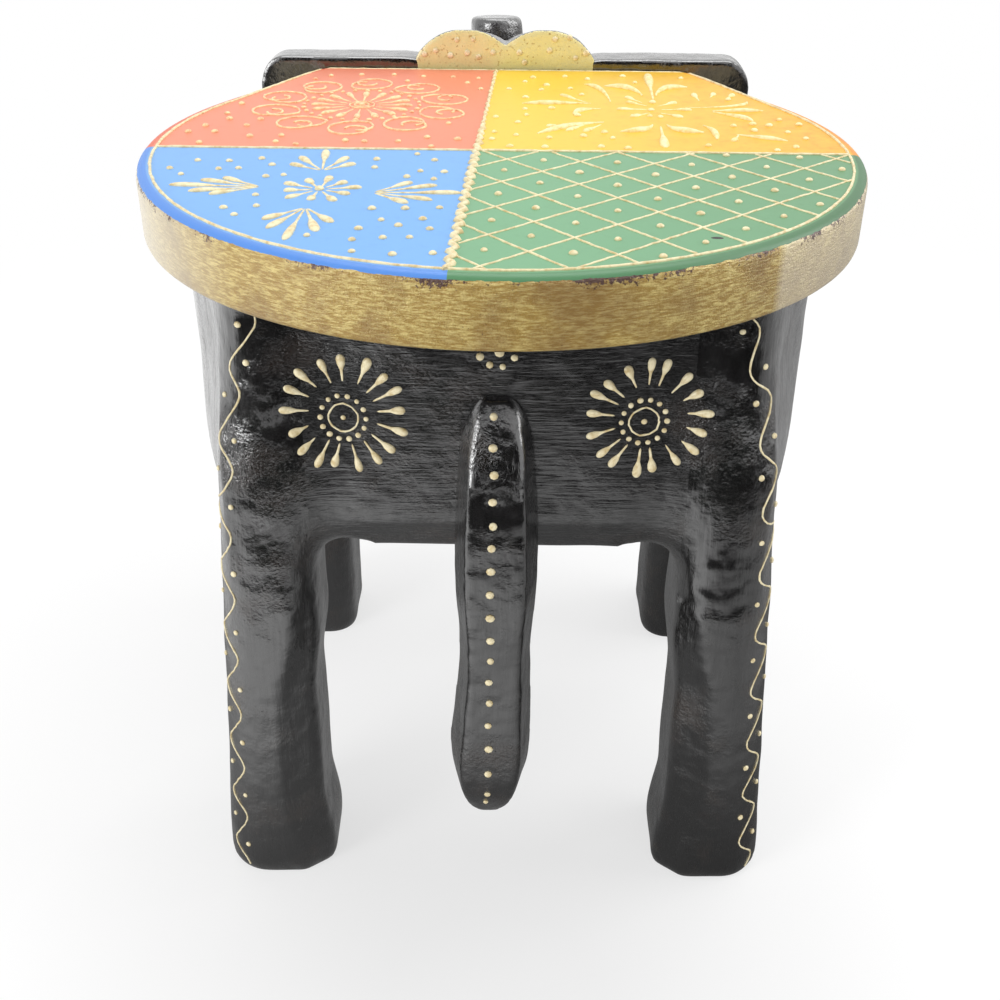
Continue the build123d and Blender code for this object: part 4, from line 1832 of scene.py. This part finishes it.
    def ears(self) -> list[ConeWork]:
        """On each ear a wavy border strand, a row of dots inside it and a spray."""
        works = []
        for name, side in SIDES:
            work = self.work(f"ear_ornament_{name}", 90 + side, View.FRONT, f"ear_{name}")
            low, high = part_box(f"ear_{name}")
            top, bottom = high.z / MM, low.z / MM
            inner, outer = sorted((abs(low.x) / MM, abs(high.x) / MM))
            middle, bend = (inner + outer) / 2, (outer - 9, top - 34)
            edge = bent_line((inner + 6, top - 7), (outer - 6, top - 4), bend, 14)
            edge += bent_line(bend, (outer - 14, bottom + 4), (middle, bottom + 12), 14)[1:]
            work.line([(-side * x, z) for x, z in edge], 1.2)
            for x, z in edge[2:-1:2]:
                toward = Vector((middle - x, top - 30 - z)).normalized() * 4.5
                work.dot(-side * (x + toward.x), z + toward.y, 2.2)
            for step in range(7):
                angle = 30 * step + 180
                work.drop(*away((-side * (middle - 2), top - 27), angle, 2.5), angle, 11, 2.8)
            works.append(work)
        return works

    def trunk_bands(self) -> ConeWork:
        """Bent strands across the front of the trunk, with a dot under each."""
        work = self.work("trunk_bands", 99, View.FRONT, "trunk")
        low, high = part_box("trunk")
        middle = -(low.x + high.x) / 2 / MM
        z = low.z / MM + 22
        while z < high.z / MM - 12:
            work.line(bent_line((middle - 9, z + 3), (middle, z - 4), (middle + 9, z + 3)), 1.0)
            work.dot(middle, z - 5, 2.3)
            z += 11
        return work

    def build(self) -> None:
        """Draws all the body's cone work."""
        cream = ConePaste("cone_paste_on_black", "#ece0bb", "#c3ab74").make()
        for work in (self.panel(), *self.leg_waves(), self.tail_dots(), *self.flanks(),
                     self.domes(), self.face(), *self.ears(), self.trunk_bands()):
            work.gather(cream, "cream_paint")


# ------------------------------------------------------------------ studio
@dataclass
class Studio:
    """Pale floor, soft lamps and a camera above and behind the stool."""

    seat: Vector
    eye: tuple[float, float, float] = (0.0038, -0.4913, 0.1376)
    pitch: float = 31.48
    yaw: float = -0.38
    roll: float = 0.58
    lens: float = 45.0
    sensor: float = 36.0
    floor_size: float = 24.0
    sky: float = 0.62
    paper_tones: tuple[float, float] = (0.93, 0.95)
    fibre_clouds: float = 400.0
    paper_glow: float = 0.7
    open_ends: tuple[float, float] = (0.3, 0.75)
    # glow of the paper in reflections, with the painted dusk, painted shadow and painted shade that
    # dim it
    mirror_glow: float = 1.0
    dusk: float = 0.03
    dusk_ends: tuple[float, float] = (-0.6, -0.36)
    sole_painted_shadow: float = 0.25
    sole_painted_shadow_ends: tuple[float, float] = (0.2, 0.34)
    right_shade: float = 0.4
    right_shade_ends: tuple[float, float] = (-0.12, 0.16)
    # middle, brightness and ends of a painted soft shadow on the paper behind the stool
    painted_shadow_middle: tuple[float, float, float] = (0, -0.23, 0)
    painted_shadow_brightness: float = 0.85
    painted_shadow_ends: tuple[float, float] = (0.04, 0.2)
    card_place: tuple[float, float, float] = (0, -1.35, 0.76)
    card_size: tuple[float, float, float] = (2.8, 1.5, 1)
    lamps: tuple = (("window_left", (-1.0, -0.85, 0.6), (0.5, 0.8), 8),
                    ("window_right", (1.3, 0.1, 1.0), (0.9, 1.1), 11),
                    ("soft_overhead", (0.1, 0.5, 1.7), (1.4, 1.0), 12))
    aim: tuple[float, float, float] = (0, 0, 0.15)

    def camera(self) -> None:
        """Sets up the camera from its place and its three angles."""
        data = bpy.data.cameras.new("camera")
        data.lens, data.sensor_width = self.lens, self.sensor
        data.clip_start = 0.01
        camera = bpy.data.objects.new("camera", data)
        bpy.context.scene.collection.objects.link(camera)
        turn = (Matrix.Rotation(math.radians(-self.yaw), 4, "Z")
                @ Matrix.Rotation(math.radians(90 - self.pitch), 4, "X")
                @ Matrix.Rotation(math.radians(self.roll), 4, "Z"))
        camera.matrix_world = Matrix.Translation(self.seat + Vector(self.eye)) @ turn
        bpy.context.scene.camera = camera

    def mirrored(self, recipe: Recipe, spot: bpy.types.NodeSocket,
                 reach: bpy.types.NodeSocket) -> bpy.types.Node:
        """Adds the paper's painted brightness in reflections: painted dusk afar, painted shadow by
        the soles, painted shade at the right.

        Args:
            recipe: The paper's material.
            spot: Place on the floor.
            reach: Its distance from the middle of the floor.

        Returns:
            The node that gives the brightness.
        """
        add = recipe.add
        axes = add("SeparateXYZ", {0: spot})
        share = None
        # painted reflection: the paper's glow for reflected rays is dimmed far behind, by the soles
        # and towards the right
        for place, ends, low, high, easing in (
                (axes.outputs["Y"], self.dusk_ends, self.dusk, 1.0, "SMOOTHSTEP"),
                (reach, self.sole_painted_shadow_ends, self.sole_painted_shadow, 1.0, "SMOOTHSTEP"),
                (axes.outputs["X"], self.right_shade_ends, 1.0, self.right_shade, "LINEAR")):
            fading = add("MapRange", {"Value": place, "From Min": ends[0],
                                      "From Max": ends[1], "To Min": low, "To Max": high},
                         interpolation_type=easing)
            share = add("Math", {0: share, 1: fading}, operation="MULTIPLY") if share else fading
        return share

    def paper(self) -> bpy.types.Material:
        """Matt white paper: white to the camera and in mirrors, keeps soft shadows, and has a
        painted shadow behind the stool.
        """
        recipe = Recipe("matt_white_paper")
        add = recipe.add
        spot = add("TexCoord").outputs["Object"]
        fibres = add("TexNoise", {"Vector": spot, "Scale": per(self.fibre_clouds)})
        tone = add("MapRange", {"Value": fibres, "To Min": self.paper_tones[0],
                                "To Max": self.paper_tones[1]})
        colour = add("CombineColor", {0: tone, 1: tone, 2: tone})
        recipe.feed(recipe.shader, {"Base Color": colour, "Roughness": 1.0,
                                    "Specular IOR Level": 0.0})
        path = add("LightPath")
        seen = path.outputs["Is Camera Ray"]
        reach = add("VectorMath", {0: spot}, operation="LENGTH").outputs["Value"]
        # painted shadow: to the camera the paper dims round a spot behind the stool
        near = add("VectorMath", {0: spot, 1: self.painted_shadow_middle}, operation="DISTANCE")
        front = add("MapRange", {"Value": near.outputs["Value"], "From Min": self.painted_shadow_ends[0],
                                 "From Max": self.painted_shadow_ends[1], "To Min": self.painted_shadow_brightness})
        paper = add("Math", {0: seen, 1: front}, operation="MULTIPLY")
        strength = add("Math", {0: paper, 1: self.mirrored(recipe, spot, reach)},
                       operation="MAXIMUM")
        sharp = add("Math", {0: path.outputs["Is Glossy Ray"],
                             1: path.outputs["Is Transmission Ray"]}, operation="MAXIMUM")
        open_floor = add("MapRange", {"Value": reach, "From Min": self.open_ends[0],
                                      "From Max": self.open_ends[1], "To Min": self.paper_glow})
        direct = add("Math", {0: seen, 1: open_floor}, operation="MULTIPLY")
        share = add("Math", {0: sharp, 1: self.mirror_glow, 2: direct}, operation="MULTIPLY_ADD")
        glow = add("Emission", {"Color": (1, 1, 1, 1), "Strength": strength})
        mixed = add("MixShader", {0: share, 1: recipe.shader, 2: glow})
        recipe.feed(recipe.output, {"Surface": mixed})
        return recipe.material

    def floor(self) -> None:
        """A wide floor of matt white paper."""
        bpy.ops.mesh.primitive_plane_add(size=self.floor_size, location=(0, 0, -0.2 * MM))
        floor = named("studio_floor")
        floor.data.materials.append(self.paper())

    def lamp(self, name: str, place: tuple[float, float, float], size: tuple[float, float],
             power: float) -> None:
        """A soft rectangular lamp that looks at the middle of the stool.

        Args:
            name: Its name.
            place: Where it hangs.
            size: Its width and height.
            power: Its power in watts.
        """
        data = bpy.data.lights.new(name, "AREA")
        data.shape, data.size, data.size_y, data.energy = "RECTANGLE", *size, power
        lamp = bpy.data.objects.new(name, data)
        bpy.context.scene.collection.objects.link(lamp)
        way = Vector(self.aim) - Vector(place)
        lamp.matrix_world = (Matrix.Translation(place)
                             @ way.to_track_quat("-Z", "Y").to_matrix().to_4x4())

    def card(self) -> None:
        """A black card behind the camera, which only the stool's reflections show."""
        bpy.ops.mesh.primitive_plane_add(size=1, location=self.card_place,
                                         rotation=(math.pi / 2, 0, 0), scale=self.card_size)
        card = named("black_card")
        recipe = Recipe("black_felt")
        recipe.feed(recipe.shader, {"Base Color": "#0a0a0a", "Roughness": 1.0,
                                    "Specular IOR Level": 0.0})
        card.data.materials.append(recipe.material)
        card.visible_camera = card.visible_diffuse = card.visible_shadow = False

    def world(self) -> None:
        """Even pale surroundings, white to the camera and in reflections."""
        world = bpy.data.worlds.new("pale_room")
        bpy.context.scene.world = world
        room = Nodes(world)
        room.tree.nodes.clear()
        path = room.add("LightPath")
        seen = path.outputs["Is Camera Ray"]
        for name in ("Is Glossy Ray", "Is Transmission Ray"):
            seen = room.add("Math", {0: seen, 1: path.outputs[name]}, operation="MAXIMUM")
        strength = room.add("MapRange", {"Value": seen, "To Min": self.sky, "To Max": 1.0})
        light = room.add("Background", {"Color": (1, 1, 1, 1), "Strength": strength})
        room.add("OutputWorld", {"Surface": light})

    def build(self) -> None:
        """Sets up the whole studio."""
        self.camera()
        self.floor()
        self.card()
        self.world()
        for name, place, size, power in self.lamps:
            self.lamp(name, place, size, power)
        bpy.context.scene.view_settings.view_transform = "Standard"


# ------------------------------------------------------------------ making the stool
def dress_hidden_nodes() -> None:
    """Gives the nodes that stay as they are their own finish."""
    beech = PlainFinish("turned_beech", "#c79a68", "#a87a4a", 0.55, (1.2, 1.2, 14.0)).make()
    ivory = PlainFinish("cream_gloss_paint", "#efe6cc", "#dccfa8", 0.3, (3.0, 9.0, 3.0)).make()
    for name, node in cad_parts.items():
        dowel, tusk = name.endswith(("dowel", "dowels")), name.startswith("tusk")
        if dowel or tusk:
            node.data.materials.clear()
            node.data.materials.append(beech if dowel else ivory)
        if tusk:
            smooth_shaded(node)


def main() -> None:
    """Builds the stool piece by piece, then the studio."""
    logging.basicConfig(level=logging.INFO, format="%(name)s %(message)s")
    seat = SeatBoard()
    Studio(seat.middle()).build()
    board = seat.build()
    pieces = CarvedBody().build()
    upright, stippled = BlackLacquer(Strokes.UPRIGHT), BlackLacquer(Strokes.STIPPLED)
    domes = BrassBackedLacquer(Strokes.STIPPLED, back=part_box("head_block")[0].y,
                               seat=seat.middle().z)
    smooth = BlackLacquer(Strokes.STIPPLED, name="smooth_lacquer", stroke_depth=0.2,
                          hollow_depth=0.4, pit_depth=0.1)
    for carving in (CarvedTail("tail", "carved_tail", upright, Vector((0, 1, 0))),
                    CarvedHead("head_block", "carved_head", domes),
                    SoftCarving("trunk", "carved_trunk", stippled, Vector((0, -1, 0))),
                    CarvedEar("ear_left", "carved_ear_left", smooth, Vector((1, 0, 0))),
                    CarvedEar("ear_right", "carved_ear_right", smooth, Vector((-1, 0, 0)))):
        pieces[carving.node] = carving.build()
    dress_hidden_nodes()
    dot, drop = paste_dot(), paste_drop()
    plan = Ground([board], seat.middle(), Vector((1, 0, 0)), Vector((0, 1, 0)))
    SeatOrnament(seat.layout, plan, dot, drop).build()
    BodyOrnament(pieces, dot, drop).build()
    for form in (dot, drop):
        bpy.data.objects.remove(form)


if __name__ == "__main__":
    main()
